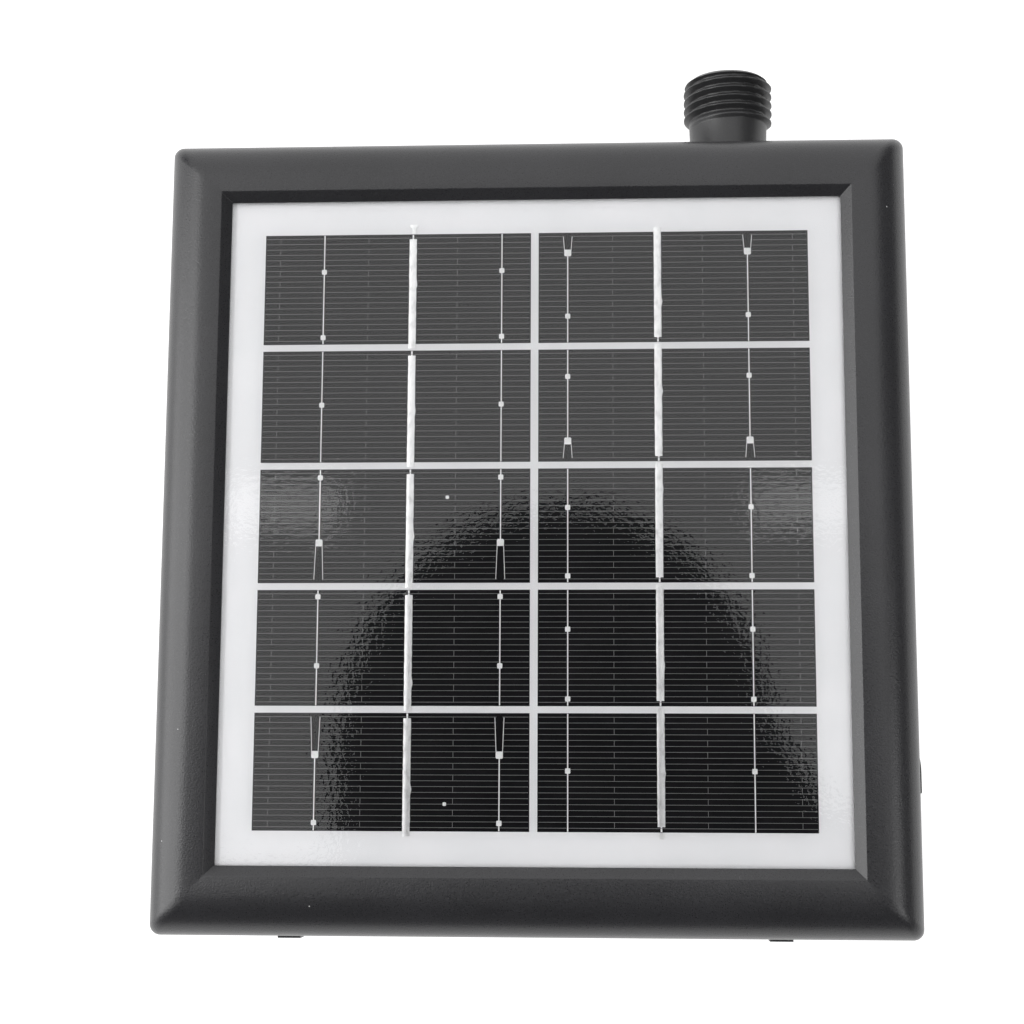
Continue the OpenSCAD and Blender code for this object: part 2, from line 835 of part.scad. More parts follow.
module pump_cover_seal() {
    color([0.6, 0.15, 0.1]) at_pump()
        translate([chamber_shift, 0, casing_z])
            tube(casing_r - cover_seal_in, chamber_r + cover_seal_in, cover_seal_t);
}

module pump_screws() {
    color([0.75, 0.76, 0.78]) at_pump()
        at_lugs() screw(pump_screw_head_r, pump_screw_head_h, pump_screw_r,
                        cover_z - pump_screw_head_h, pump_screw_top);
}

// Open impeller and the sleeve that carries the magnet, bored for a bush at each end
module impeller() {
    hub_r = 3;
    collar_r = magnet_r - 0.1;
    collar_top = magnet_z - 0.1;
    sleeve_r = magnet_in_r - fit_gap;
    seat_r = bush_r + 0.02;
    way_r = shaft_r + 0.4;
    sunk = 0.2;
    color([0.85, 0.85, 0.82]) at_pump() {
        rotate_extrude() polygon([
            [seat_r, blade_z], [hub_r, blade_z], [hub_r, back_z], [impeller_r, back_z],
            [impeller_r, rotor_z], [collar_r, rotor_z], [collar_r, collar_top], [sleeve_r, collar_top],
            [sleeve_r, rotor_top], [seat_r, rotor_top], [seat_r, rotor_top - bush_l],
            [way_r, rotor_top - bush_l], [way_r, blade_z + bush_l], [seat_r, blade_z + bush_l]
        ]);
        translate([0, 0, blade_z]) linear_extrude(back_z - blade_z + sunk)
            for (i = [0 : impeller_blades - 1]) rotate(i * 360 / impeller_blades) blade_section();
    }
}

// Section of a backward-curved blade: an arc of a thin ring, from the hub to near the rim
module blade_section() {
    arc_r = impeller_r * 0.7;
    half_t = 0.5;
    back = impeller_r / 4;
    intersection() {
        translate([arc_r * 0.9, -arc_r * 0.09]) difference() {
            circle(arc_r + half_t);
            circle(arc_r - half_t);
        }
        difference() {
            circle(impeller_r - 0.3);
            circle(bush_r + 0.4);
        }
        polygon([[0, 0], [impeller_r, -impeller_r / 10], [impeller_r, impeller_r], [-back, impeller_r]]);
    }
}

module rotor_magnet() {
    color([0.25, 0.25, 0.27]) at_pump()
        translate([0, 0, magnet_z]) tube(magnet_r, magnet_in_r, magnet_top - magnet_z);
}

module rotor_bushes() {
    color([0.9, 0.88, 0.8]) at_pump()
        for (z = [blade_z, rotor_top - bush_l])
            translate([0, 0, z]) tube(bush_r, shaft_r + running_gap, bush_l);
}

module pump_shaft() {
    color([0.95, 0.94, 0.9]) at_pump()
        translate([0, 0, shaft_foot]) cylinder(r = shaft_r, h = shaft_top - shaft_foot);
}

// One washer lies on the cover's hub, the other is at the shaft's upper end.
module thrust_washers() {
    color([0.8, 0.78, 0.7]) at_pump() {
        translate([0, 0, casing_z]) tube(washer_r, shaft_r + fit_gap, washer_t);
        translate([0, 0, shaft_seat_z - washer_t]) tube(washer_r, shaft_r + fit_gap, washer_t / 2);
    }
}

module stator_core() {
    shoe_w = 6.8;
    shoe_t = 1.4;
    color([0.5, 0.5, 0.52]) at_pump() translate([0, 0, stator_z]) {
        tube(stator_r, stator_r - yoke_t, stator_h);
        difference() {
            for (i = [0 : stator_teeth - 1]) rotate(i * 360 / stator_teeth) {
                translate([can_out_r, -tooth_w / 2, 0])
                    cube([stator_r - yoke_t + 0.3 - can_out_r, tooth_w, stator_h]);
                translate([can_out_r, -shoe_w / 2, 0]) cube([shoe_t, shoe_w, stator_h]);
            }
            translate([0, 0, -1]) cylinder(r = can_out_r + 0.15, h = stator_h + 2);
        }
    }
}

// A coil round each tooth, between its shoe and the yoke
module stator_coils() {
    coil_in = can_out_r + 1.6;
    coil_out = stator_r - yoke_t - clear_gap;
    coil_w = 4.4;
    overhang = 0.4;
    color([0.75, 0.42, 0.2]) at_pump()
        for (i = [0 : stator_teeth - 1]) rotate(i * 360 / stator_teeth) difference() {
            translate([coil_in, -coil_w / 2, stator_z - overhang])
                cube([coil_out - coil_in, coil_w, stator_h + 2 * overhang]);
            translate([coil_in - 1, -tooth_w / 2 - fit_gap, stator_z - fit_gap])
                cube([coil_out, tooth_w + 2 * fit_gap, stator_h + 2 * fit_gap]);
        }
}

// ---------------------------------------------------------------- strainer

// Twist-off cap: slotted plate, ring wall with three bayonet lugs, and a grip bar
module filter_cap() {
    sunk = 0.1;
    grip_l = 2 * cap_r - 7;
    grip_w = 3;
    color([0.13, 0.13, 0.13]) at_pump() {
        translate([0, 0, cap_z]) slotted_plate();
        translate([0, 0, cap_z + cap_t - sunk])
            tube(cap_ring_r, cap_ring_r - cap_ring_t, cap_ring_top - cap_z - cap_t + sunk);
        for (i = [0 : cap_lugs - 1])
            rotate(i * 360 / cap_lugs) translate([0, 0, cap_ring_top - cap_lug_t]) bayonet_lug();
        translate([-grip_l / 2, -grip_w / 2, cap_z - grip_h]) cube([grip_l, grip_w, grip_h + 1]);
    }
}

module slotted_plate() {
    slot_reach = slot_pitch * (slots - 1) / 2;
    difference() {
        cylinder(r = cap_r, h = cap_t);
        intersection() {
            for (x = [-slot_reach : slot_pitch : slot_reach])
                translate([x - slot_w / 2, -cap_r, -1]) cube([slot_w, 2 * cap_r, cap_t + 2]);
            translate([0, 0, -1]) cylinder(r = cap_r - slot_margin, h = cap_t + 2);
        }
    }
}

module bayonet_lug() {
    difference() {
        sector(cap_ring_r + cap_lug_reach, lug_arc, cap_lug_t);
        translate([0, 0, -1]) cylinder(r = cap_ring_r - 0.3, h = cap_lug_t + 2);
    }
}

module filter_sponge() {
    color([0.25, 0.27, 0.3]) at_pump()
        translate([0, 0, cap_z + cap_t + 0.1])
            cylinder(r = cap_ring_r - cap_ring_t - clear_gap, h = sponge_t);
}

// ---------------------------------------------------------------- battery

module at_batteries() {
    at_panel() for (x = battery_xs) translate([x, battery_y, battery_z]) rotate([90, 0, 0]) children();
}

module battery_cells() {
    cap_r = 3;
    cap_h = 1;
    sunk = 0.1;
    color([0.15, 0.35, 0.6]) at_batteries() {
        cylinder(r = battery_r, h = battery_l, center = true);
        translate([0, 0, battery_l / 2 - sunk]) cylinder(r = cap_r, h = cap_h + sunk);
    }
}

module battery_holder() {
    end_gap = 2.4;
    holder_z = floor_top + fit_gap;
    holder_l = battery_l + 2 * (end_gap + holder_t);
    color([0.1, 0.1, 0.1]) at_panel() translate([battery_x, battery_y, holder_z]) difference() {
        translate([-battery_pitch / 2 - battery_r, -holder_l / 2, 0])
            cube([battery_pitch + 2 * battery_r, holder_l, battery_r + holder_t]);
        for (side = [-1, 1])
            translate([side * battery_pitch / 2, 0, battery_z - holder_z]) rotate([90, 0, 0])
                cylinder(r = battery_r + 0.15, h = battery_l + 2 * end_gap, center = true);
    }
}

// Spring strips between the cells' ends and the holder's end walls
module battery_straps() {
    strip = [battery_pitch - 3, 0.4, 5];
    strip_y = battery_l / 2 + 1.75;
    strip_z = battery_z + 2.7;
    color([0.8, 0.78, 0.7]) at_panel()
        for (end = [-1, 1])
            translate([battery_x, battery_y + end * strip_y, strip_z]) cube(strip, center = true);
}

// ---------------------------------------------------------------- control board

module control_board() {
    color([0.05, 0.35, 0.18]) at_panel() difference() {
        translate([pcb_x[0], pcb_y[0], pcb_z])
            cube([pcb_x[1] - pcb_x[0], pcb_y[1] - pcb_y[0], pcb_t]);
        for (p = pcb_holes) translate([p[0], p[1], pcb_z - 1])
            cylinder(r = pcb_screw_r + hole_gap, h = pcb_t + 2);
    }
}

module board_screws() {
    head_r = 2.2;
    head_h = 1.4;
    screw_l = 7;
    color([0.75, 0.76, 0.78]) at_panel()
        for (p = pcb_holes) translate([p[0], p[1], pcb_top + head_h])
            mirror([0, 0, 1]) screw(head_r, head_h, pcb_screw_r, 0, screw_l);
}

// A block standing on the board, centred on x, y
module on_board(x, y, size) {
    at_panel() translate([x - size[0] / 2, y - size[1] / 2, pcb_top]) cube(size);
}

module board_chips() {
    color([0.08, 0.08, 0.08]) {
        on_board(42, -34, [9, 9, 1.6]);
        on_board(56, -60, [5, 6, 1.6]);
        on_board(22, -58, [4, 5, 1.4]);
    }
}

// A drum core with its two flanges
module board_inductor() {
    core_r = 3.4;
    core_h = 5;
    rim_r = 4.6;
    rim_t = 1.2;
    color([0.3, 0.28, 0.28]) at_panel() translate([32, -62, pcb_top]) {
        cylinder(r = core_r, h = core_h);
        for (z = [0, core_h - rim_t])
            translate([0, 0, z]) cylinder(r = rim_r, h = rim_t);
    }
}

// Upright cans with a crimped groove near the foot
module board_capacitors() {
    can_r = 3.15;
    can_h = 9;
    groove_z = 1.4;
    groove_h = 0.5;
    groove_t = 0.2;
    color([0.12, 0.12, 0.3]) at_panel()
        for (p = [[47, -50], [58, -38]]) translate([p[0], p[1], pcb_top]) difference() {
            cylinder(r = can_r, h = can_h);
            translate([0, 0, groove_z]) tube(can_r + 1, can_r - groove_t, groove_h);
        }
}

module board_connectors() {
    color([0.92, 0.9, 0.85])
        for (p = connector_xy) on_board(p[0], p[1], connector_size);
}

module charge_jack() {
    jack = [12, 6.6, 7];
    back_t = 2;
    color([0.07, 0.07, 0.07]) at_panel()
        translate([tray_w / 2 - wall - 0.1 - jack[0], port_y, 0]) difference() {
            translate([0, -jack[1] / 2, pcb_top]) cube(jack);
            translate([back_t, 0, port_z]) rotate([0, 90, 0]) cylinder(r = port_r, h = jack[0]);
        }
}

module tact_switch() {
    body_w = 6;
    plunger_r = 1.7;
    plunger_h = 0.5;
    body_z = pcb_z - tact_h;
    color([0.1, 0.1, 0.1]) at_panel() translate([button_x, button_y, 0]) {
        translate([-body_w / 2, -body_w / 2, body_z]) cube([body_w, body_w, tact_h]);
        translate([0, 0, body_z - plunger_h]) cylinder(r = plunger_r, h = plunger_h + 0.5);
    }
}

// Round key in the floor; its flange keeps it in, and it travels up into the housing.
module power_button() {
    stem_r = 2;
    stem_top = pcb_z - tact_h - 0.55 - button_travel;
    rim_r = button_r + 1.6;
    rim_t = 0.8;
    rim_low = floor_top + clear_gap;
    color([0.75, 0.1, 0.08]) at_panel() translate([button_x, button_y, 0]) {
        translate([0, 0, button_z]) cylinder(r1 = button_r - button_edge, r2 = button_r, h = button_edge);
        translate([0, 0, button_z + button_edge]) cylinder(r = button_r, h = rim_low - button_z);
        translate([0, 0, rim_low]) cylinder(r = rim_r, h = rim_t);
        translate([0, 0, rim_low]) cylinder(r = stem_r, h = stem_top - rim_low);
    }
}

// A side-looking light: a block on the board and a round nose towards the lens
module status_led() {
    block = [2, 3.2, 4];
    nose_r = 1.3;
    nose_l = 1.5;
    color([0.9, 0.95, 0.9]) at_panel() translate([pcb_x[1] - 3.6, led_y, 0]) {
        translate([0, -block[1] / 2, pcb_top]) cube(block);
        translate([block[0] - 0.1, 0, led_z]) rotate([0, 90, 0]) cylinder(r = nose_r, h = nose_l + 0.1);
    }
}

// The lens's flange seats against the inside of the wall.
module led_lens() {
    rim_r = led_r + 0.8;
    rim_t = 0.75;
    proud = 0.3;
    color([0.9, 0.95, 1, 0.5]) at_panel()
        translate([tray_w / 2 - wall, led_y, led_z]) rotate([0, 90, 0]) {
            translate([0, 0, -rim_t - fit_gap]) cylinder(r = rim_r, h = rim_t);
            translate([0, 0, -0.1]) cylinder(r = led_r, h = wall + proud + 0.1);
        }
}

// ---------------------------------------------------------------- charging port cover

// Rubber lid with a round plug; it swings about the groove beside its strap.
module port_flap() {
    color([0.07, 0.07, 0.07]) at_panel() translate([flap_x, port_y, port_z]) rotate([0, 90, 0]) {
        linear_extrude(flap_t) {
            circle(flap_w / 2);
            translate([-flap_w / 2, -flap_w / 2]) square([flap_w, flap_w / 2]);
        }
        translate([0, 0, -plug_l]) cylinder(r = plug_r, h = plug_l + 0.1);
    }
}

// The strap is stuck to the boss and ends in a thinner, narrower tongue.
module flap_strap() {
    tongue_l = 0.7;
    tongue_w = flap_w * 0.6;
    tongue_t = strap_t * 0.6;
    color([0.07, 0.07, 0.07]) at_panel()
        translate([port_boss_x, hinge_y - groove_w / 2 - strap_w, port_z]) {
            translate([0, 0, -flap_w / 2]) cube([strap_t, strap_w, flap_w]);
            translate([0, -tongue_l, -tongue_w / 2]) cube([tongue_t, tongue_l + 0.3, tongue_w]);
        }
}

// ---------------------------------------------------------------- leads

// A pair or triple of leads side by side, from one group of pads to the plug of a connector
module lead_group(start, via, connector, count) {
    plug = [connector_xy[connector][0], connector_xy[connector][1], plug_z];
    for (i = [0 : count - 1]) {
        step = (i - (count - 1) / 2) * lead_pitch;
        at_panel() lead([
            [start[0] + step, start[1], start[2]],
            [start[0] + step, start[1], via + i * lead_pitch],
            [plug[0] + step, plug[1], via + i * lead_pitch],
            [plug[0] + step, plug[1], plug[2]]
        ], lead_r);
    }
}

module panel_leads() {
    color([0.7, 0.1, 0.1]) lead_group([-8, -40, board_z], 25.5, 0, 2);
}

module battery_leads() {
    run_z = 24;
    start_z = battery_z + 2.5;
    color([0.8, 0.15, 0.1]) at_panel()
        for (i = [0, 1]) {
            start_x = battery_xs[1] + 3 + lead_pitch * i;
            start_y = battery_y - battery_l / 2 - 2;
            run_y = start_y - 4 - 3 * i;
            plug_x = connector_xy[1][0] + (i - 0.5) * lead_pitch;
            lead([
                [start_x, start_y, start_z],
                [start_x, run_y, start_z],
                [start_x, run_y, run_z],
                [plug_x, run_y, run_z],
                [plug_x, connector_xy[1][1], run_z],
                [plug_x, connector_xy[1][1], plug_z]
            ], lead_r);
        }
}

module motor_leads() {
    color([0.2, 0.2, 0.2])
        for (i = [0 : 2]) {
            x = connector_xy[2][0] + (i - 1) * lead_pitch;
            z = stator_top - (2 - i) * lead_pitch;
            at_panel() lead([
                [pump_x + (i - 1) * lead_pitch, pump_y - stator_r, z],
                [pump_x + (i - 1) * lead_pitch, connector_xy[2][1], z],
                [x, connector_xy[2][1], z],
                [x, connector_xy[2][1], plug_z]
            ], lead_r);
        }
}

// ---------------------------------------------------------------- drawing

front_frame();
panel_seal();
cover_film();
solar_cells();
tabbing_ribbons();
backing_board();
panel_sealant();
rear_housing();
housing_seal();
housing_screws();
feet();
outlet_spout();
outlet_seal();
outlet_nut();
pump_casing();
pump_cover();
pump_cover_seal();
pump_screws();
impeller();
rotor_magnet();
rotor_bushes();
pump_shaft();
thrust_washers();
stator_core();
stator_coils();
filter_cap();
filter_sponge();
battery_cells();
battery_holder();
battery_straps();
control_board();
board_screws();
board_chips();
board_inductor();
board_capacitors();
board_connectors();
charge_jack();
tact_switch();
power_button();
status_led();
led_lens();
port_flap();
flap_strap();
panel_leads();
battery_leads();
motor_leads();
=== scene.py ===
import math
import random

import bmesh
import bpy
from mathutils import Matrix, Vector


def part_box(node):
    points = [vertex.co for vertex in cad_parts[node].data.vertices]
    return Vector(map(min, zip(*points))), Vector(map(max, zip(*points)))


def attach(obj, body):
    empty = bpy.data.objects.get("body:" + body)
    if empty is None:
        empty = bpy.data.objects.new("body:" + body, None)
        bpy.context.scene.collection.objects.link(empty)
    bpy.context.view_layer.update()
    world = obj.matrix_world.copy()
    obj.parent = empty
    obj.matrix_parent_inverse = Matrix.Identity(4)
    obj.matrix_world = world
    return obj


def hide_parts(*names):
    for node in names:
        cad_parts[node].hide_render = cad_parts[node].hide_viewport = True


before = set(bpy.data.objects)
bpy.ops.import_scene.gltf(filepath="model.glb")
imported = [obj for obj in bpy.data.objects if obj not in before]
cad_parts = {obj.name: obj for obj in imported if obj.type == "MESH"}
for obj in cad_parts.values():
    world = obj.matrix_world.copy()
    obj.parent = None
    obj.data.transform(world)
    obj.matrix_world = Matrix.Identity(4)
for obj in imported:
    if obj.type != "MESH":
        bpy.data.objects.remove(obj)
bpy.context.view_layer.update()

# Looks of an all-in-one solar fountain pump. The object's sizes are in millimetres and turned into
# metres where a mesh is made; its places come from the boxes of the CAD nodes. The studio is in metres.
MM = 0.001
SEED = 7


# ---------------------------------------------------------------- materials

class Finish:
    """A Principled material whose colour, roughness and relief come from nodes in the object's space."""

    def __init__(self, name, **sockets):
        self.material = bpy.data.materials.new(name)
        self.material.use_nodes = True
        self.nodes = self.material.node_tree.nodes
        self.links = self.material.node_tree.links
        self.shader = self.nodes["Principled BSDF"]
        self.place = self.node("ShaderNodeTexCoord").outputs["Object"]
        self.relief = None
        for socket, value in sockets.items():
            self.shader.inputs[socket.replace("_", " ")].default_value = value

    def node(self, kind, settings=(), **inputs):
        made = self.nodes.new(kind)
        for key, value in dict(settings).items():
            setattr(made, key, value)
        for key, value in inputs.items():
            socket = made.inputs[key.replace("_", " ")]
            if isinstance(value, bpy.types.NodeSocket):
                self.links.new(value, socket)
            else:
                socket.default_value = value
        return made

    def spaced(self, size, stretch=(1, 1, 1)):
        """The object's place, scaled so that a texture's unit cell is size millimetres times stretch."""
        scale = [1 / (size * MM * s) for s in stretch]
        return self.node("ShaderNodeMapping", Vector=self.place, Scale=scale).outputs["Vector"]

    def noise(self, size, detail=3.0, stretch=(1, 1, 1)):
        return self.node("ShaderNodeTexNoise", Vector=self.spaced(size, stretch), Scale=1.0,
                         Detail=detail).outputs["Fac"]

    def cells(self, size, feature="SMOOTH_F1", stretch=(1, 1, 1)):
        return self.node("ShaderNodeTexVoronoi", {"feature": feature},
                         Vector=self.spaced(size, stretch), Scale=1.0).outputs["Distance"]

    def waves(self, size, direction, wobble):
        # A wave texture of scale 1 repeats every 2 pi / 20 units.
        return self.node("ShaderNodeTexWave", {"bands_direction": direction},
                         Vector=self.spaced(size * 20 / (2 * math.pi)), Scale=1.0,
                         Distortion=wobble).outputs["Fac"]

    def mapped(self, factor, low, high, start=0.0, end=1.0):
        return self.node("ShaderNodeMapRange", Value=factor, From_Min=start, From_Max=end,
                         To_Min=low, To_Max=high).outputs["Result"]

    def ramp(self, factor, stops):
        """stops are (position, colour) pairs; a colour is a grey or (r, g, b)."""
        made = self.node("ShaderNodeValToRGB", Fac=factor)
        points = made.color_ramp.elements
        while len(points) < len(stops):
            points.new(0.5)
        for point, (position, colour) in zip(points, stops):
            point.position = position
            point.color = (*rgb(colour), 1)
        return made.outputs["Color"]

    def over(self, factor, below, above):
        made = self.node("ShaderNodeMix", {"data_type": "RGBA"})
        for socket, value in ((0, factor), (6, below), (7, above)):
            if isinstance(value, bpy.types.NodeSocket):
                self.links.new(value, made.inputs[socket])
            else:
                made.inputs[socket].default_value = (*rgb(value), 1)
        return made.outputs[2]

    def product(self, a, b):
        made = self.node("ShaderNodeMath", {"operation": "MULTIPLY"})
        self.links.new(a, made.inputs[0])
        self.links.new(b, made.inputs[1])
        return made.outputs[0]

    def bump(self, height, depth):
        """Adds relief whose full height is depth, in millimetres."""
        inputs = {"Height": height, "Distance": depth * MM, "Strength": 1.0}
        if self.relief:
            inputs["Normal"] = self.relief
        self.relief = self.node("ShaderNodeBump", **inputs).outputs["Normal"]

    def done(self, colour=None, roughness=None):
        for value, socket in ((colour, "Base Color"), (roughness, "Roughness"), (self.relief, "Normal")):
            if value is not None:
                self.links.new(value, self.shader.inputs[socket])
        return self.material


    def clear_from_behind(self):
        """Lets the eye through the surface from its back, so that the floor hides nothing from below."""
        clear = self.node("ShaderNodeBsdfTransparent")
        mix = self.node("ShaderNodeMixShader")
        self.links.new(self.node("ShaderNodeNewGeometry").outputs["Backfacing"], mix.inputs[0])
        self.links.new(self.shader.outputs[0], mix.inputs[1])
        self.links.new(clear.outputs[0], mix.inputs[2])
        self.links.new(mix.outputs[0], self.nodes["Material Output"].inputs["Surface"])


def rgb(colour):
    return (colour,) * 3 if isinstance(colour, (int, float)) else tuple(colour)


def shade(colour, by):
    return tuple(min(1, c * by) for c in rgb(colour))


def moulded(name, tone, rough=0.36, pebble=0.55, depth=0.008, dust=0.0, **sockets):
    """Moulded plastic: a pebbled skin, light speckles painted on the grain's raised tops as painted
    highlight, slow changes of tone, and a few dust specks.
    """
    made = Finish(name, **sockets)
    grain = made.noise(pebble * 0.7, 2)
    made.bump(made.cells(pebble), depth)
    made.bump(grain, depth * 0.6)
    colour = made.ramp(made.noise(22), [(0.3, shade(tone, 0.82)), (0.7, shade(tone, 1.08))])
    # Painted highlight: where the grain stands high, the colour lightens towards 2.2 times the tone, in
    # place of glints off the pebbles.
    colour = made.over(made.mapped(grain, 0, 0.5, 0.52, 0.72), colour, shade(tone, 2.2))
    if dust:
        spot = made.mapped(made.cells(4.5, "F1"), 1, 0, 0.018, 0.034)
        patchy = made.mapped(made.noise(11), 0, 1, 0.52, 0.58)
        colour = made.over(made.product(spot, patchy), colour, dust)
    return made.done(colour, made.mapped(grain, rough * 0.8, rough * 1.25, 0.3, 0.7))


def rubber(name, tone, rough=0.62):
    made = Finish(name, Specular_IOR_Level=0.4)
    made.bump(made.noise(0.35, 4), 0.012)
    colour = made.ramp(made.noise(9), [(0.3, shade(tone, 0.8)), (0.72, shade(tone, 1.25))])
    return made.done(colour, made.mapped(made.noise(3), rough * 0.88, rough * 1.1))


def metal(name, tone, rough=0.28, grain=(1, 1, 12), depth=0.002):
    """Bare or plated metal with fine drawn lines and duller blotches."""
    made = Finish(name, Metallic=1.0)
    lines = made.noise(0.22, 3, grain)
    made.bump(lines, depth)
    colour = made.ramp(made.noise(2.5), [(0.3, shade(tone, 0.8)), (0.7, shade(tone, 1.05))])
    return made.done(colour, made.mapped(lines, rough * 0.75, rough * 1.4))


def banded(name, tone, pitch, depth, rough, **sockets):
    """Something laid or wound in even bands up the Z axis: sheet stacks, enamelled wire."""
    made = Finish(name, **sockets)
    bands = made.waves(pitch, "Z", 0.3)
    made.bump(bands, depth)
    # Painted shade: the colour darkens to half the tone in the grooves between bands.
    colour = made.ramp(bands, [(0.1, shade(tone, 0.5)), (0.6, tone)])
    return made.done(colour, made.mapped(made.noise(1.5), rough * 0.8, rough * 1.2))


def film_finish():
    """Clear glossy film: it mirrors by Fresnel over a fine orange peel and lets the rest through."""
    made = Finish("clear_pet_film")
    made.bump(made.noise(0.95, 1.0), 0.018)
    made.bump(made.noise(6.0, 1.0), 0.008)
    made.nodes.remove(made.shader)
    gloss = made.node("ShaderNodeBsdfGlossy", Color=(1, 1, 1, 1), Normal=made.relief)
    made.links.new(made.mapped(made.noise(14), 0.012, 0.03), gloss.inputs["Roughness"])
    clear = made.node("ShaderNodeBsdfTransparent", Color=(0.975, 0.975, 0.978, 1))
    fresnel = made.node("ShaderNodeFresnel", IOR=1.5, Normal=made.relief)
    mix = made.node("ShaderNodeMixShader")
    made.links.new(fresnel.outputs[0], mix.inputs[0])
    made.links.new(clear.outputs[0], mix.inputs[1])
    made.links.new(gloss.outputs[0], mix.inputs[2])
    made.links.new(mix.outputs[0], made.nodes["Material Output"].inputs["Surface"])
    return made.material


def film_bond_finish():
    """The film's edges and back, which are bonded and mirror nothing."""
    made = Finish("film_bond")
    made.nodes.remove(made.shader)
    tint = made.ramp(made.noise(8), [(0.2, (0.975, 0.98, 0.98)), (0.8, 1.0)])
    clear = made.node("ShaderNodeBsdfTransparent", Color=tint)
    made.links.new(clear.outputs[0], made.nodes["Material Output"].inputs["Surface"])
    return made.material


def silicon_finish():
    """Nearly black cell face with a faint change of tint."""
    made = Finish("dark_silicon", Specular_IOR_Level=0.09)
    made.bump(made.noise(0.08, 2), 0.0006)
    dark, light = (0.0045, 0.0045, 0.0055), (0.0075, 0.0068, 0.0082)
    tint = made.ramp(made.noise(13, 2), [(0.3, dark), (0.7, light)])
    return made.done(tint, made.mapped(made.noise(4), 0.34, 0.46))


def silver_print_finish(name, tone):
    """Matt screen-printed silver."""
    made = Finish(name, Specular_IOR_Level=0.3)
    made.bump(made.noise(0.12, 3), 0.004)
    tint = made.ramp(made.noise(1.6), [(0.3, tone * 0.9), (0.7, tone * 1.06)])
    return made.done(tint, made.mapped(made.noise(0.5), 0.42, 0.58))


def solder_finish():
    """Tinned ribbon, lumpy where the solder set."""
    made = Finish("tinned_ribbon", Metallic=0.75)
    made.bump(made.noise(0.55, 3, (1, 3, 1)), 0.018)
    made.bump(made.cells(1.6, stretch=(1, 2.5, 1)), 0.02)
    tint = made.ramp(made.noise(1.1, 3, (1, 2, 1)), [(0.28, 0.66), (0.5, 0.86), (0.75, (0.93, 0.93, 0.92))])
    return made.done(tint, made.mapped(made.noise(0.7), 0.3, 0.5))


def board_finish():
    """White printed backing board."""
    made = Finish("white_backing", Specular_IOR_Level=0.35)
    made.bump(made.noise(0.5, 3), 0.003)
    dull, clean = (0.79, 0.788, 0.797), (0.815, 0.813, 0.823)
    tint = made.ramp(made.noise(30, 2), [(0.3, dull), (0.7, clean)])
    return made.done(tint, made.mapped(made.noise(6), 0.45, 0.6))


def sponge_finish(name, tone):
    """Open-cell foam: pores darkened by painted shade, between pale strands."""
    made = Finish(name, Specular_IOR_Level=0.2)
    pores = made.cells(0.9, "F1")
    made.bump(pores, 0.3)
    # Painted shade: the colour follows the pores' depth, darkest in the pits and palest on the strands.
    tint = made.ramp(pores, [(0.15, shade(tone, 0.25)), (0.5, tone), (0.8, shade(tone, 1.5))])
    return made.done(tint, made.mapped(made.noise(0.6), 0.8, 0.95))


def ceramic_finish():
    """Polished white alumina."""
    made = Finish("white_alumina", Coat_Weight=0.2, Coat_Roughness=0.1)
    made.bump(made.noise(0.1, 3), 0.001)
    tint = made.ramp(made.noise(1.2), [(0.3, (0.80, 0.79, 0.74)), (0.7, (0.90, 0.89, 0.85))])
    return made.done(tint, made.mapped(made.noise(0.6), 0.16, 0.28))


def circuit_board_finish():
    """Green solder mask over traces that run in two directions."""
    made = Finish("solder_mask", Coat_Weight=0.3, Coat_Roughness=0.15)
    across = made.mapped(made.waves(2.2, "X", 4), 0, 1, 0.55, 0.6)
    along = made.mapped(made.waves(2.6, "Y", 4), 0, 1, 0.6, 0.65)
    traces = made.product(across, along)
    made.bump(traces, 0.035)
    tint = made.over(traces, (0.012, 0.10, 0.045), (0.03, 0.20, 0.09))
    return made.done(tint, made.mapped(made.noise(1), 0.3, 0.42))


def cell_sleeve_finish():
    """Blue shrink sleeve, glossy and a little wavy."""
    made = Finish("cell_sleeve", Coat_Weight=0.4, Coat_Roughness=0.12)
    made.bump(made.noise(2.5, 2), 0.02)
    tint = made.ramp(made.noise(10), [(0.3, (0.015, 0.10, 0.30)), (0.7, (0.02, 0.13, 0.36))])
    return made.done(tint, made.mapped(made.noise(4), 0.3, 0.42))


def clear_plastic(name, tone, rough):
    made = Finish(name, Transmission_Weight=0.85, IOR=1.49)
    made.bump(made.noise(0.5, 2), 0.002)
    tint = made.ramp(made.noise(2), [(0.3, shade(tone, 0.9)), (0.7, tone)])
    return made.done(tint, made.mapped(made.noise(1), rough * 0.8, rough * 1.3))


# ---------------------------------------------------------------- mesh building

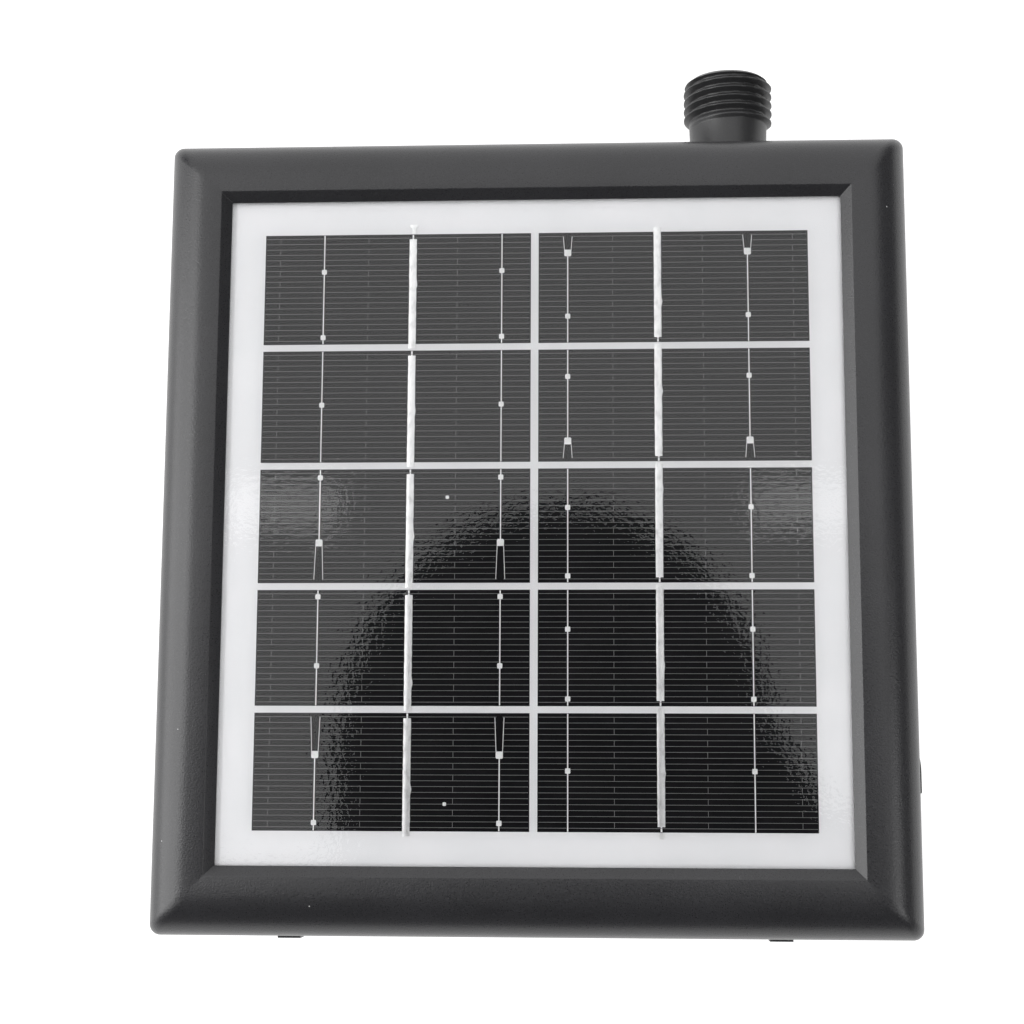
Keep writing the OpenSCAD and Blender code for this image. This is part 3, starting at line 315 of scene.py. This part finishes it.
class Batch:
    """Many small closed shapes that end up in one mesh. Points are in millimetres."""

    def __init__(self):
        self.points = []
        self.faces = []

    def add(self, points, faces):
        start = len(self.points)
        self.points += points
        self.faces += [[start + i for i in face] for face in faces]

    def prism(self, outline, low, high, inset=0.0):
        """Closed prism over an anticlockwise outline; inset pulls its top edge in."""
        n = len(outline)
        cx = sum(x for x, y in outline) / n
        cy = sum(y for x, y in outline) / n
        top = []
        for x, y in outline:
            reach = math.hypot(x - cx, y - cy)
            share = 1 - inset / reach
            top.append((cx + (x - cx) * share, cy + (y - cy) * share, high))
        base = [(x, y, low) for x, y in outline]
        walls = [[i, (i + 1) % n, n + (i + 1) % n, n + i] for i in range(n)]
        self.add(base + top, [list(range(n))[::-1], list(range(n, 2 * n))] + walls)

    def bar(self, x0, x1, y0, y1, low, high):
        self.prism([(x0, y0), (x1, y0), (x1, y1), (x0, y1)], low, high)

    def line(self, a, b, width, low, high):
        """A straight printed line from a to b, each (x, y)."""
        dx, dy = b[0] - a[0], b[1] - a[1]
        reach = math.hypot(dx, dy)
        nx, ny = -dy / reach * width / 2, dx / reach * width / 2
        self.prism([(a[0] - nx, a[1] - ny), (b[0] - nx, b[1] - ny),
                    (b[0] + nx, b[1] + ny), (a[0] + nx, a[1] + ny)], low, high)

    def rings(self, rings, closed=True):
        """Skin over rings of equally many points; closed joins the last ring to the first."""
        around = len(rings[0])
        faces = []
        for i in range(len(rings) if closed else len(rings) - 1):
            j = (i + 1) % len(rings)
            for k in range(around):
                m = (k + 1) % around
                faces.append([i * around + k, i * around + m, j * around + m, j * around + k])
        if not closed:
            faces.append(list(range(around))[::-1])
            faces.append([(len(rings) - 1) * around + k for k in range(around)])
        self.add([point for ring in rings for point in ring], faces)


def new_piece(name, batch, material, replaces=(), sharp_over=None):
    """Makes a piece of the housing body; with sharp_over it is smooth but for edges over that angle."""
    mesh = bpy.data.meshes.new(name)
    mesh.from_pydata([(x * MM, y * MM, z * MM) for x, y, z in batch.points], [], batch.faces)
    shape = bmesh.new()
    shape.from_mesh(mesh)
    bmesh.ops.recalc_face_normals(shape, faces=shape.faces)
    shape.to_mesh(mesh)
    shape.free()
    mesh.materials.append(material)
    if sharp_over is not None:
        mesh.shade_smooth()
        mesh.set_sharp_from_angle(angle=math.radians(sharp_over))
    piece = bpy.data.objects.new(name, mesh)
    bpy.context.scene.collection.objects.link(piece)
    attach(piece, "housing")
    if replaces:
        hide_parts(*replaces)
    return piece


def box_mm(node):
    """A CAD node's lowest and highest corner, in millimetres."""
    low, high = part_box(node)
    return low / MM, high / MM


def islands_mm(node):
    """The boxes of a CAD node's separate solids, in millimetres, as (low, high) pairs."""
    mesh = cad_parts[node].data
    shape = bmesh.new()
    shape.from_mesh(mesh)
    bmesh.ops.remove_doubles(shape, verts=shape.verts, dist=1e-6)
    left = set(shape.verts)
    boxes = []
    while left:
        # The group grows while it is walked, until it holds every vertex joined to its first.
        group = [left.pop()]
        for vert in group:
            for edge in vert.link_edges:
                other = edge.other_vert(vert)
                if other in left:
                    left.remove(other)
                    group.append(other)
        low = Vector([min(v.co[i] for v in group) for i in range(3)])
        high = Vector([max(v.co[i] for v in group) for i in range(3)])
        boxes.append((low / MM, high / MM))
    shape.free()
    return sorted(boxes, key=lambda box: tuple(box[0]))


def arc(cx, cy, r, start, end, steps):
    """Points on an arc, in degrees, both ends included."""
    return [(cx + r * math.cos(math.radians(start + (end - start) * i / steps)),
             cy + r * math.sin(math.radians(start + (end - start) * i / steps))) for i in range(steps + 1)]


def rounded_rectangle(cx, cy, half_w, half_l, r, steps):
    """A rounded rectangle, anticlockwise, with the same number of points at any radius."""
    path = []
    for sx, sy, start in ((1, 1, 0), (-1, 1, 90), (-1, -1, 180), (1, -1, 270)):
        path += arc(cx + sx * (half_w - r), cy + sy * (half_l - r), r, start, start + 90, steps)
    return path


# ---------------------------------------------------------------- frame

FRAME_SHOULDER = 8.8
FRAME_BAND = 3.6
FRAME_BEVEL = 2.1
FRAME_BEVEL_H = 1.7
FRAME_LIP_EDGE = 0.2
FRAME_WALL = 2.4
FRAME_SKIRT = 5.2
FRAME_POCKET = 11.3
FRAME_CHAMFER = 1.3
CORNER_R = 2.2
BAND_CORNER_R = 1.3
WINDOW_CORNER_R = 0.12
CORNER_STEPS = 10
SHOULDER_STEPS = 28


def frame_section(bottom, top, rib_low):
    """The frame's section as (inset, height) pairs, from the skirt's inner foot outwards and back."""
    edge = 0.35
    rim = top - FRAME_SHOULDER
    band_end = FRAME_SHOULDER + FRAME_BAND
    window = band_end + FRAME_BEVEL
    lip = top - FRAME_BEVEL_H - FRAME_LIP_EDGE
    ceiling = top - FRAME_WALL
    outside = [(FRAME_WALL, bottom)] + arc(edge, bottom + edge, edge, 270, 180, 4)
    shoulder = arc(FRAME_SHOULDER, rim, FRAME_SHOULDER, 180, 90, SHOULDER_STEPS)
    crease = [(band_end - 0.16, top), (band_end + 0.02, top - 0.05), (band_end + 0.14, top - 0.15)]
    lip_edge = [(window - 0.1, lip + 0.3), (window, lip + 0.18), (window, lip)]
    inside = [(FRAME_POCKET, lip), (FRAME_POCKET, rib_low), (FRAME_SHOULDER, rib_low),
              (FRAME_SHOULDER, ceiling), (FRAME_SKIRT, ceiling - FRAME_CHAMFER), (FRAME_SKIRT, rim + 1),
              (FRAME_WALL, rim + 1)]
    return outside + shoulder + crease + lip_edge + inside


def crease_radius(inset):
    """Plan radius of the corner at this inset: soft over the shoulder, crisp at the bevel."""
    if inset <= FRAME_SHOULDER:
        return CORNER_R + (BAND_CORNER_R - CORNER_R) * inset / FRAME_SHOULDER
    share = min(1, (inset - FRAME_SHOULDER) / FRAME_BAND)
    return BAND_CORNER_R + (WINDOW_CORNER_R - BAND_CORNER_R) * share


def front_frame():
    """The frame as one closed skin swept round the window."""
    low, high = box_mm("front_frame")
    rib_low = box_mm("panel_sealant")[0].z
    centre = (low + high) / 2
    half = (high - low) / 2
    rings = []
    for inset, height in frame_section(low.z, high.z, rib_low):
        radius = crease_radius(inset)
        path = rounded_rectangle(centre.x, centre.y, half.x - inset, half.y - inset, radius, CORNER_STEPS)
        rings.append([(x, y, height) for x, y in path])
    batch = Batch()
    batch.rings(rings)
    tone = (0.0142, 0.0141, 0.0156)
    skin = moulded("black_abs", tone, rough=0.32, pebble=0.34, depth=0.028, dust=0.5)
    new_piece("front_frame_moulding", batch, skin, replaces=["front_frame"], sharp_over=24)


# ---------------------------------------------------------------- laminate

FINGERS = 20
FINGER_W = 0.1
FINGER_T = 0.012
LINK_T = 0.01
BUSBAR_W = 0.24
BUSBAR_T = 0.022
BUSBAR_PITCH = 19.2
FORK_W = 0.12
FORK_T = 0.018
FORK_SPLAY = 0.2
PAD_T = 0.03
PAD_CROWN_T = 0.015
TINNED_W = 0.34
PAD_PITCH = 14.5
END_PITCH = 13.95
SMALL_PAD = 1.1
BIG_PAD = 1.5
# Each cell is a slice of a longer wafer. For each, from the top row down: the depth of its first pad
# under the slice's top edge, and the wafer's end that it holds, where the busbar forks to the edge
# and the last two pads stand closer.
LEFT_SLICES = [(8.25, None), (11.8, None), (1.8, "bottom"), (1.45, None), (8.65, "top")]
RIGHT_SLICES = [(4.5, "top"), (5.9, "bottom"), (8.35, None), (8.3, None), (11.85, None)]

# Stray spots of silver right of the ribbon: (column, row) and the share of the cell's length above them.
SPOTS = {(0, 2): 0.25, (0, 4): 0.77}


def cell_grid():
    """The cells' boxes as (column, row, low, high), row 0 at the top."""
    boxes = islands_mm("solar_cells")
    middle = sum((low.x + high.x) / 2 for low, high in boxes) / len(boxes)
    found = []
    for column, side in enumerate((-1, 1)):
        column_boxes = [b for b in boxes if ((b[0].x + b[1].x) / 2 - middle) * side > 0]
        column_boxes.sort(key=lambda b: -b[0].y)
        found += [(column, row, low, high) for row, (low, high) in enumerate(column_boxes)]
    return found


def rounded_square(cx, cy, size, r):
    return rounded_rectangle(cx, cy, size / 2, size / 2, r, 4)


def print_pad(batch, x, y, size, low):
    """A soldering pad: a low rounded square with a small crown."""
    high = low + PAD_T
    batch.prism(rounded_square(x, y, size, size * 0.2), low, high, 0.06)
    batch.prism(rounded_square(x, y, size * 0.55, size * 0.22), high, high + PAD_CROWN_T, 0.08)


def print_busbar(batch, x, low, high, top, first_pad, wafer_end):
    """One busbar's line, its pads and, where the wafer ends, its fork. Gives the forked pad's Y."""
    pads = []
    depth = first_pad
    while depth < high.y - low.y - 0.5:
        pads.append(high.y - depth)
        depth += END_PITCH if wafer_end else PAD_PITCH
    forked = {"top": pads[0], "bottom": pads[-1], None: None}[wafer_end]
    line_top = pads[0] if wafer_end == "top" else high.y - 0.1
    line_low = pads[-1] if wafer_end == "bottom" else low.y + 0.1
    batch.bar(x - BUSBAR_W / 2, x + BUSBAR_W / 2, line_low, line_top, top, top + BUSBAR_T)
    for y in pads:
        print_pad(batch, x, y, BIG_PAD if y == forked else SMALL_PAD, top)
    if wafer_end:
        edge_y = high.y - 0.9 if wafer_end == "top" else low.y + 0.8
        for side in (-1, 1):
            foot = (x + side * (BIG_PAD / 2 - 0.1), forked)
            tip = (x + side * (BIG_PAD / 2 + FORK_SPLAY), edge_y)
            batch.line(foot, tip, FORK_W, top, top + FORK_T)
    return forked


def print_fingers(batch, low, high, top, busbars, forked, wafer_end, links):
    """Fingers across the cell, left out between a fork's legs, and the short links between them."""
    pitch = (high.y - low.y) / (FINGERS + 0.35)
    edge = 0.2
    for i in range(FINGERS):
        y = high.y - pitch * (i + 0.68)
        breaks = []
        if wafer_end and ((y > forked) == (wafer_end == "top")):
            breaks = [(x - BIG_PAD / 2 + 0.1, x + BIG_PAD / 2 - 0.1) for x in busbars]
        start = low.x + edge
        for a, b in breaks + [(high.x - edge, None)]:
            batch.bar(start, a, y - FINGER_W / 2, y + FINGER_W / 2, top, top + FINGER_T)
            start = b
        if i % 2 == 0:
            for x in links:
                batch.bar(x - FINGER_W / 2, x + FINGER_W / 2, y - pitch, y, top, top + LINK_T)


def cell_metal():
    """Everything printed in silver on the cells."""
    fingers = Batch()
    busbars = Batch()
    ribbons = islands_mm("tabbing_ribbons")
    for column, row, low, high in cell_grid():
        ribbon_x = next((a.x + b.x) / 2 for a, b in ribbons
                        if low.x < (a.x + b.x) / 2 < high.x and a.y < (low.y + high.y) / 2 < b.y)
        first_pad, wafer_end = (LEFT_SLICES, RIGHT_SLICES)[column][row]
        top = high.z
        outer = [ribbon_x - BUSBAR_PITCH, ribbon_x + BUSBAR_PITCH]
        for x in outer:
            forked = print_busbar(busbars, x, low, high, top, first_pad, wafer_end)
        # The busbar under the ribbon shows only where the ribbon stops short of the cell's edge.
        busbars.bar(ribbon_x - TINNED_W / 2, ribbon_x + TINNED_W / 2, low.y + 0.1, high.y - 0.1,
                    top - 0.01, top + 0.004)
        links = [ribbon_x + k * BUSBAR_PITCH / 2 for k in (-3, -1, 1, 3)]
        links = [x for x in links if low.x + 1 < x < high.x - 1]
        print_fingers(fingers, low, high, top, outer, forked, wafer_end, links)
        if (column, row) in SPOTS:
            spot_y = high.y - (high.y - low.y) * SPOTS[column, row]
            busbars.prism(rounded_square(ribbon_x + 7.9, spot_y, 0.75, 0.25), top, top + PAD_T, 0.08)
    new_piece("printed_fingers", fingers, silver_print_finish("thin_silver", 0.2))
    new_piece("printed_busbars", busbars, silver_print_finish("fired_silver", 0.92),
              sharp_over=30)


RIBBON_STEP = 0.6
RIBBON_WANDER = 0.035


def ribbon_rings(x, y0, y1, half_w, low, high, rng, bulges):
    """A flattened strip with soft edges; it wanders and swells a little where it was soldered."""
    steps = max(6, int((y1 - y0) / RIBBON_STEP))
    rings = []
    for i in range(steps + 1):
        y = y0 + (y1 - y0) * i / steps
        swell = sum(0.22 * math.exp(-((y - b) / 0.7) ** 2) for b in bulges)
        left = half_w + rng.uniform(-RIBBON_WANDER, RIBBON_WANDER)
        right = half_w + rng.uniform(-RIBBON_WANDER, RIBBON_WANDER) + swell
        crown = high - 0.012 * rng.random()
        mid = (low + high) / 2
        rings.append([(x - left, y, mid), (x - left + 0.09, y, low), (x + right - 0.09, y, low),
                      (x + right, y, mid), (x + right - 0.12, y, crown), (x, y, high - 0.004),
                      (x - left + 0.12, y, crown)])
    return rings


def tabbing_ribbons():
    """The soldered ribbons, with the tails that turn under at the head of the string and at its end."""
    rng = random.Random(SEED)
    batch = Batch()
    boxes = islands_mm("tabbing_ribbons")
    for low, high in boxes:
        cx = (low.x + high.x) / 2
        bulges = [low.y + (high.y - low.y) * rng.uniform(0.2, 0.8)]
        batch.rings(ribbon_rings(cx, low.y, high.y, (high.x - low.x) / 2 - 0.03, low.z, high.z,
                                 rng, bulges), closed=False)
    cells = {(column, row): (low, high) for column, row, low, high in cell_grid()}
    half_w = (boxes[0][1].x - boxes[0][0].x) / 2
    low_z, high_z = boxes[0][0].z, boxes[0][1].z
    head_x = min((low.x + high.x) / 2 for low, high in boxes) + 0.2
    head_y = cells[0, 0][1].y
    end_x = max((low.x + high.x) / 2 for low, high in boxes)
    end_y = cells[1, 4][0].y
    tails = [(head_x, head_y + 0.05, head_y + 1.5, half_w * 0.55),
             (head_x, head_y + 1.5, head_y + 2.1, half_w),
             (end_x, end_y - 1.3, end_y - 0.1, half_w * 0.8)]
    for x, y0, y1, tail_half_w in tails:
        batch.rings(ribbon_rings(x, y0, y1, tail_half_w, low_z, high_z, rng, []), closed=False)
    new_piece("soldered_ribbons", batch, solder_finish(), replaces=["tabbing_ribbons"],
              sharp_over=50)


def cover_film():
    """The clear film: a mirror-smooth top skin on a bonded block."""
    low, high = box_mm("cover_film")
    batch = Batch()
    edge = 0.12
    levels = [(0, low.z), (0, high.z - edge), (edge * 0.3, high.z - edge * 0.3), (edge, high.z)]
    rings = []
    for inset, height in levels:
        rings.append([(low.x + inset, low.y + inset, height), (high.x - inset, low.y + inset, height),
                      (high.x - inset, high.y - inset, height), (low.x + inset, high.y - inset, height)])
    batch.rings(rings, closed=False)
    bond = film_bond_finish()
    piece = new_piece("cover_film_skin", batch, bond, replaces=["cover_film"])
    piece.data.materials.append(film_finish())
    for face in piece.data.polygons:
        face.material_index = 1 if face.normal.z > 0.9 else 0


# ---------------------------------------------------------------- outlet

def outlet_spout():
    """The threaded spout as one lathe-like skin whose thread runs round it as a right-handed helix."""
    low, high = box_mm("outlet_spout")
    axis_x = (low.x + high.x) / 2
    axis_z = (low.z + high.z) / 2
    mouth = high.y
    thread_r, neck_r, foot_r = 9.9, 8.7, 8.45
    bore_r, duct_r, inner_r = 6.5, 4.25, 5.3
    tail_r, flange_r, flange_t = 7.5, 11.0, 2.2
    edge = 0.3
    pitch = 2.0
    crest, root = 0.13, 0.82
    last_crest = mouth - 0.75
    thread_start = mouth - 10.7
    bore_end = mouth - 19.9
    flange_y = box_mm("outlet_seal")[1].y
    tail_end = box_mm("outlet_nut")[0].y - 0.3
    around = 144
    ring_step = 0.11

    def ridge(y, angle):
        """Height of the thread over the neck at y, for an angle in turns from +X over the top."""
        turn = (y - last_crest) / pitch + angle - 0.5
        off = (turn - round(turn)) * pitch
        rise = min(1, max(0, (root - abs(off)) / (root - crest)))
        grow = min(1, max(0, y - off - thread_start))
        return min((thread_r - neck_r) * rise * grow, (mouth - y) * 1.3 - 0.35)

    def neck(y):
        """Radius under the thread: the neck's slight draft from its foot to the thread."""
        share = min(1, max(0, (y - flange_top) / (thread_start - flange_top)))
        return foot_r + (neck_r - foot_r) * share

    flange_top = flange_y + flange_t
    path = [(duct_r, low.y), (inner_r - edge, low.y), (inner_r, low.y + edge), (inner_r, tail_end),
            (tail_r - edge, tail_end), (tail_r, tail_end + edge), (tail_r, flange_y),
            (flange_r - edge, flange_y), (flange_r, flange_y + edge),
            (flange_r, flange_top - 0.4), (flange_r - 0.4, flange_top),
            (foot_r + 0.5, flange_top), (foot_r + 0.15, flange_top + 0.15), (foot_r, flange_top + 0.5)]
    first, last = thread_start - 1, mouth - 0.03
    steps = int((mouth - first) / ring_step)
    threaded = [first + (last - first) * i / steps for i in range(steps + 1)]
    inside = [(neck_r - 0.5, mouth), (bore_r + 0.35, mouth),
              (bore_r + 0.08, mouth - 0.1), (bore_r, mouth - 0.35), (bore_r, bore_end),
              (duct_r, bore_end)]
    rings = []
    for r, y in path:
        rings.append([(r, y)] * around)
    for y in threaded:
        rings.append([(neck(y) + ridge(y, k / around), y) for k in range(around)])
    for r, y in inside:
        rings.append([(r, y)] * around)
    batch = Batch()
    turned = []
    for ring in rings:
        turned.append([(axis_x + r * math.cos(2 * math.pi * k / around), y,
                        axis_z + r * math.sin(2 * math.pi * k / around)) for k, (r, y) in enumerate(ring)])
    batch.rings(turned)
    tone = (0.0155, 0.0155, 0.0162)
    skin = moulded("black_pp", tone, rough=0.4, pebble=0.35, depth=0.008, dust=0.4)
    new_piece("threaded_spout", batch, skin, replaces=["outlet_spout"], sharp_over=38)


# ---------------------------------------------------------------- finishes of the CAD nodes

def clothe(node, material, edge=0.0):
    """Gives a CAD node its material and, where edge is set, slightly rounded edges."""
    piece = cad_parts[node]
    piece.data.materials.clear()
    piece.data.materials.append(material)
    if edge:
        weld = piece.modifiers.new("weld", "WELD")
        weld.merge_threshold = 2e-6
        flat = piece.modifiers.new("flat_faces", "DECIMATE")
        flat.decimate_type = "DISSOLVE"
        flat.angle_limit = math.radians(0.6)
        bevel = piece.modifiers.new("soft_edges", "BEVEL")
        bevel.width = edge * MM
        bevel.segments = 2
        bevel.limit_method = "ANGLE"
        bevel.angle_limit = math.radians(40)
        bevel.use_clamp_overlap = False
        bevel.harden_normals = True


def finish_nodes():
    """Gives every CAD node that stays its material."""
    black = moulded("housing_abs", (0.022, 0.022, 0.023), rough=0.42, pebble=0.7, depth=0.012, dust=0.35)
    pump = moulded("pump_pom", (0.032, 0.032, 0.034), rough=0.38, pebble=0.25, depth=0.003)
    cap = moulded("cap_abs", (0.024, 0.024, 0.025), rough=0.4, pebble=0.5, depth=0.008)
    holder = moulded("holder_abs", (0.02, 0.02, 0.021), rough=0.45, pebble=0.5, depth=0.006)
    epoxy = moulded("black_epoxy", (0.02, 0.02, 0.021), rough=0.5, pebble=0.12, depth=0.002)
    nylon = moulded("natural_nylon", (0.78, 0.74, 0.66), rough=0.4, pebble=0.3, depth=0.002,
                    Subsurface_Weight=0.15, Subsurface_Radius=(0.001, 0.001, 0.0008))
    silicone = rubber("grey_silicone", (0.12, 0.12, 0.125), 0.5)
    nbr = rubber("black_nbr", 0.018, 0.6)
    steel = metal("stainless_steel", (0.62, 0.62, 0.63), 0.26)
    alumina = ceramic_finish()
    looks = {
        "panel_seal": rubber("black_foam_tape", 0.012, 0.85),
        "solar_cells": silicon_finish(),
        "backing_board": board_finish(),
        "panel_sealant": silicone,
        "rear_housing": black,
        "housing_seal": silicone,
        "housing_screws": steel,
        "feet": rubber("foot_rubber", 0.02, 0.7),
        "outlet_seal": nbr,
        "outlet_nut": pump,
        "pump_casing": pump,
        "pump_cover": pump,
        "pump_cover_seal": rubber("red_silicone", (0.42, 0.03, 0.02), 0.45),
        "pump_screws": steel,
        "impeller": moulded("impeller_pom", (0.66, 0.66, 0.62), rough=0.35, pebble=0.2, depth=0.002),
        "rotor_magnet": moulded("ferrite", (0.055, 0.055, 0.06), rough=0.5, pebble=0.1, depth=0.004),
        "rotor_bushes": alumina,
        "pump_shaft": alumina,
        "thrust_washers": alumina,
        "stator_core": banded("lamination", (0.36, 0.36, 0.37), 0.5, 0.03, 0.4, Metallic=0.9),
        "stator_coils": banded("enamelled_wire", (0.70, 0.26, 0.08), 0.3, 0.08, 0.3, Metallic=0.8),
        "filter_cap": cap,
        "filter_sponge": sponge_finish("grey_foam", (0.075, 0.08, 0.09)),
        "battery_cells": cell_sleeve_finish(),
        "battery_holder": holder,
        "battery_straps": metal("nickel_strip", (0.66, 0.62, 0.55), 0.3, (12, 1, 1)),
        "control_board": circuit_board_finish(),
        "board_screws": steel,
        "board_chips": epoxy,
        "board_inductor": banded("ferrite_drum", (0.10, 0.095, 0.095), 0.4, 0.03, 0.5),
        "board_capacitors": moulded("capacitor_sleeve", (0.018, 0.02, 0.07), 0.3, 0.4, 0.002),
        "board_connectors": nylon,
        "charge_jack": epoxy,
        "tact_switch": epoxy,
        "power_button": moulded("red_button", (0.48, 0.025, 0.018), rough=0.38, pebble=0.4, depth=0.004),
        "status_led": clear_plastic("led_epoxy", (0.85, 0.9, 0.85), 0.12),
        "led_lens": clear_plastic("frosted_lens", (0.88, 0.92, 0.95), 0.22),
        "port_flap": rubber("flap_rubber", 0.022, 0.55),
        "flap_strap": rubber("strap_rubber", 0.022, 0.55),
        "panel_leads": moulded("red_lead", (0.38, 0.02, 0.015), 0.4, 0.5, 0.003),
        "battery_leads": moulded("red_battery_lead", (0.40, 0.03, 0.015), 0.4, 0.5, 0.003),
        "motor_leads": moulded("black_lead", (0.02, 0.02, 0.02), 0.4, 0.5, 0.003),
    }
    edges = {"feet": 0.25, "filter_cap": 0.2, "power_button": 0.15, "port_flap": 0.25, "flap_strap": 0.2}
    for node, material in looks.items():
        clothe(node, material, edges.get(node, 0.0))
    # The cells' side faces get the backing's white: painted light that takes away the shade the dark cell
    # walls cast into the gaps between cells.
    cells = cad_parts["solar_cells"].data
    cells.materials.append(looks["backing_board"])
    for face in cells.polygons:
        face.material_index = 1 if abs(face.normal.z) < 0.5 else 0


# ---------------------------------------------------------------- studio

def softbox(name, near, far, width, radiance):
    """A rectangular lamp from one edge's middle to the other's, its width along Y, facing the object."""
    near, far = Vector(near), Vector(far)
    along = far - near
    lamp = bpy.data.lights.new(name, "AREA")
    lamp.shape = "RECTANGLE"
    lamp.size = width
    lamp.size_y = along.length
    lamp.energy = radiance * math.pi * width * along.length
    holder = bpy.data.objects.new(name, lamp)
    side = Vector((0, 1, 0)) if abs(along.y) < 0.5 * along.length else Vector((1, 0, 0))
    normal = side.cross(along).normalized()
    centre = (near + far) / 2
    if normal.dot(-centre) < 0:
        side, normal = -side, -normal
    up = along.normalized()
    holder.matrix_world = axes_matrix(up.cross(-normal), up, -normal, centre)
    bpy.context.scene.collection.objects.link(holder)
    return holder


def axes_matrix(x, y, z, origin):
    """The placing whose axes are x, y and z."""
    return Matrix([(x[i], y[i], z[i], origin[i]) for i in range(3)] + [(0, 0, 0, 1)])


def stage_plane(name, corners, material):
    """A flat card or floor over corners, in metres, that isn't part of the object."""
    mesh = bpy.data.meshes.new(name)
    mesh.from_pydata(corners, [], [list(range(len(corners)))])
    mesh.materials.append(material)
    plane = bpy.data.objects.new(name, mesh)
    bpy.context.scene.collection.objects.link(plane)
    return plane


def mirror_only(card):
    """A card that shows only in glossy surfaces."""
    card.visible_camera = False
    card.visible_diffuse = False
    card.visible_shadow = False
    card.visible_transmission = False


CARD_Z = 0.44
PANE_Y = 0.0595
PANE_HALF_W = 0.025
PANE_HALF_L = 0.0105


def surroundings():
    """A dim even sky."""
    scene = bpy.context.scene
    scene.view_settings.view_transform = "Standard"
    world = bpy.data.worlds.new("studio")
    world.use_nodes = True
    sky = world.node_tree.nodes["Background"]
    sky.inputs["Color"].default_value = (1, 1, 1.02, 1)
    sky.inputs["Strength"].default_value = 0.14
    scene.world = world


def floor():
    """A pale glowing floor, which is clear from below."""
    pale = Finish("pale_floor", Roughness=0.9, Specular_IOR_Level=0.1, Emission_Strength=0.95)
    pale.shader.inputs["Emission Color"].default_value = (1, 1, 1, 1)
    pale.done(pale.ramp(pale.noise(400), [(0.2, 0.25), (0.8, 0.28)]))
    pale.clear_from_behind()
    reach = 3.0
    stage_plane("floor", [(-reach, -reach, 0), (reach, -reach, 0), (reach, reach, 0), (-reach, reach, 0)],
                pale.material)


def cards():
    """What the film mirrors: the dark shape over the camera and a bright pane on either side."""
    dark = Finish("dark_card", Roughness=1.0, Specular_IOR_Level=0.0)
    head = [(x * (0.9 if x > 0 else 1) - 3, y * 1.06 - 42) for x, y in arc(0, 0, 95, 5, 180, 24)]
    shoulders = [(-98, -90), (-330, -135), (-330, -700), (300, -700), (300, -120), (103, -65)]
    outline = [(x * MM, y * MM, CARD_Z) for x, y in head + shoulders]
    dark.done(dark.ramp(dark.noise(50), [(0.2, 0.004), (0.8, 0.008)]))
    mirror_only(stage_plane("dark_card", outline, dark.material))
    glow = Finish("bright_card", Emission_Strength=2.9)
    glow.shader.inputs["Emission Color"].default_value = (1, 1, 1, 1)
    glow.done(glow.ramp(glow.noise(50), [(0.2, 0.1), (0.8, 0.12)]))
    for x in (-0.123, 0.099):
        corners = [(x + sx * PANE_HALF_W, PANE_Y + sy * PANE_HALF_L, CARD_Z)
                   for sx, sy in ((-1, -1), (1, -1), (1, 1), (-1, 1))]
        mirror_only(stage_plane("bright_card", corners, glow.material))


def lamps():
    """Soft light from the left, above, the far side and the right."""
    softbox("left_box", (-0.50, -0.05, 0.95), (-1.25, -0.05, 0.02), 0.9, 4.2)
    fill = softbox("fill_box", (-0.05, -0.34, 0.9), (0.55, -0.34, 0.9), 0.6, 2.6)
    fill.visible_glossy = False
    softbox("right_box", (0.81, -0.33, 0.57), (0.53, -0.33, 0.84), 0.58, 3.0)
    softbox("ceiling_box", (-0.13, -0.12, 1.1), (-0.13, 1.4, 0.02), 1.34, 1.28)


def camera():
    """The photograph's viewing angle: nearly straight down, a little from the right and the near side."""
    data = bpy.data.cameras.new("camera")
    data.lens = 68.1
    holder = bpy.data.objects.new("camera", data)
    holder.location = (0.0166, -0.06885, 0.4379)
    holder.rotation_euler = [math.radians(a) for a in (8.83, 2.96, 0.26)]
    bpy.context.scene.collection.objects.link(holder)
    bpy.context.scene.camera = holder


camera()
surroundings()
floor()
cards()
lamps()
finish_nodes()
front_frame()
cell_metal()
tabbing_ribbons()
cover_film()
outlet_spout()
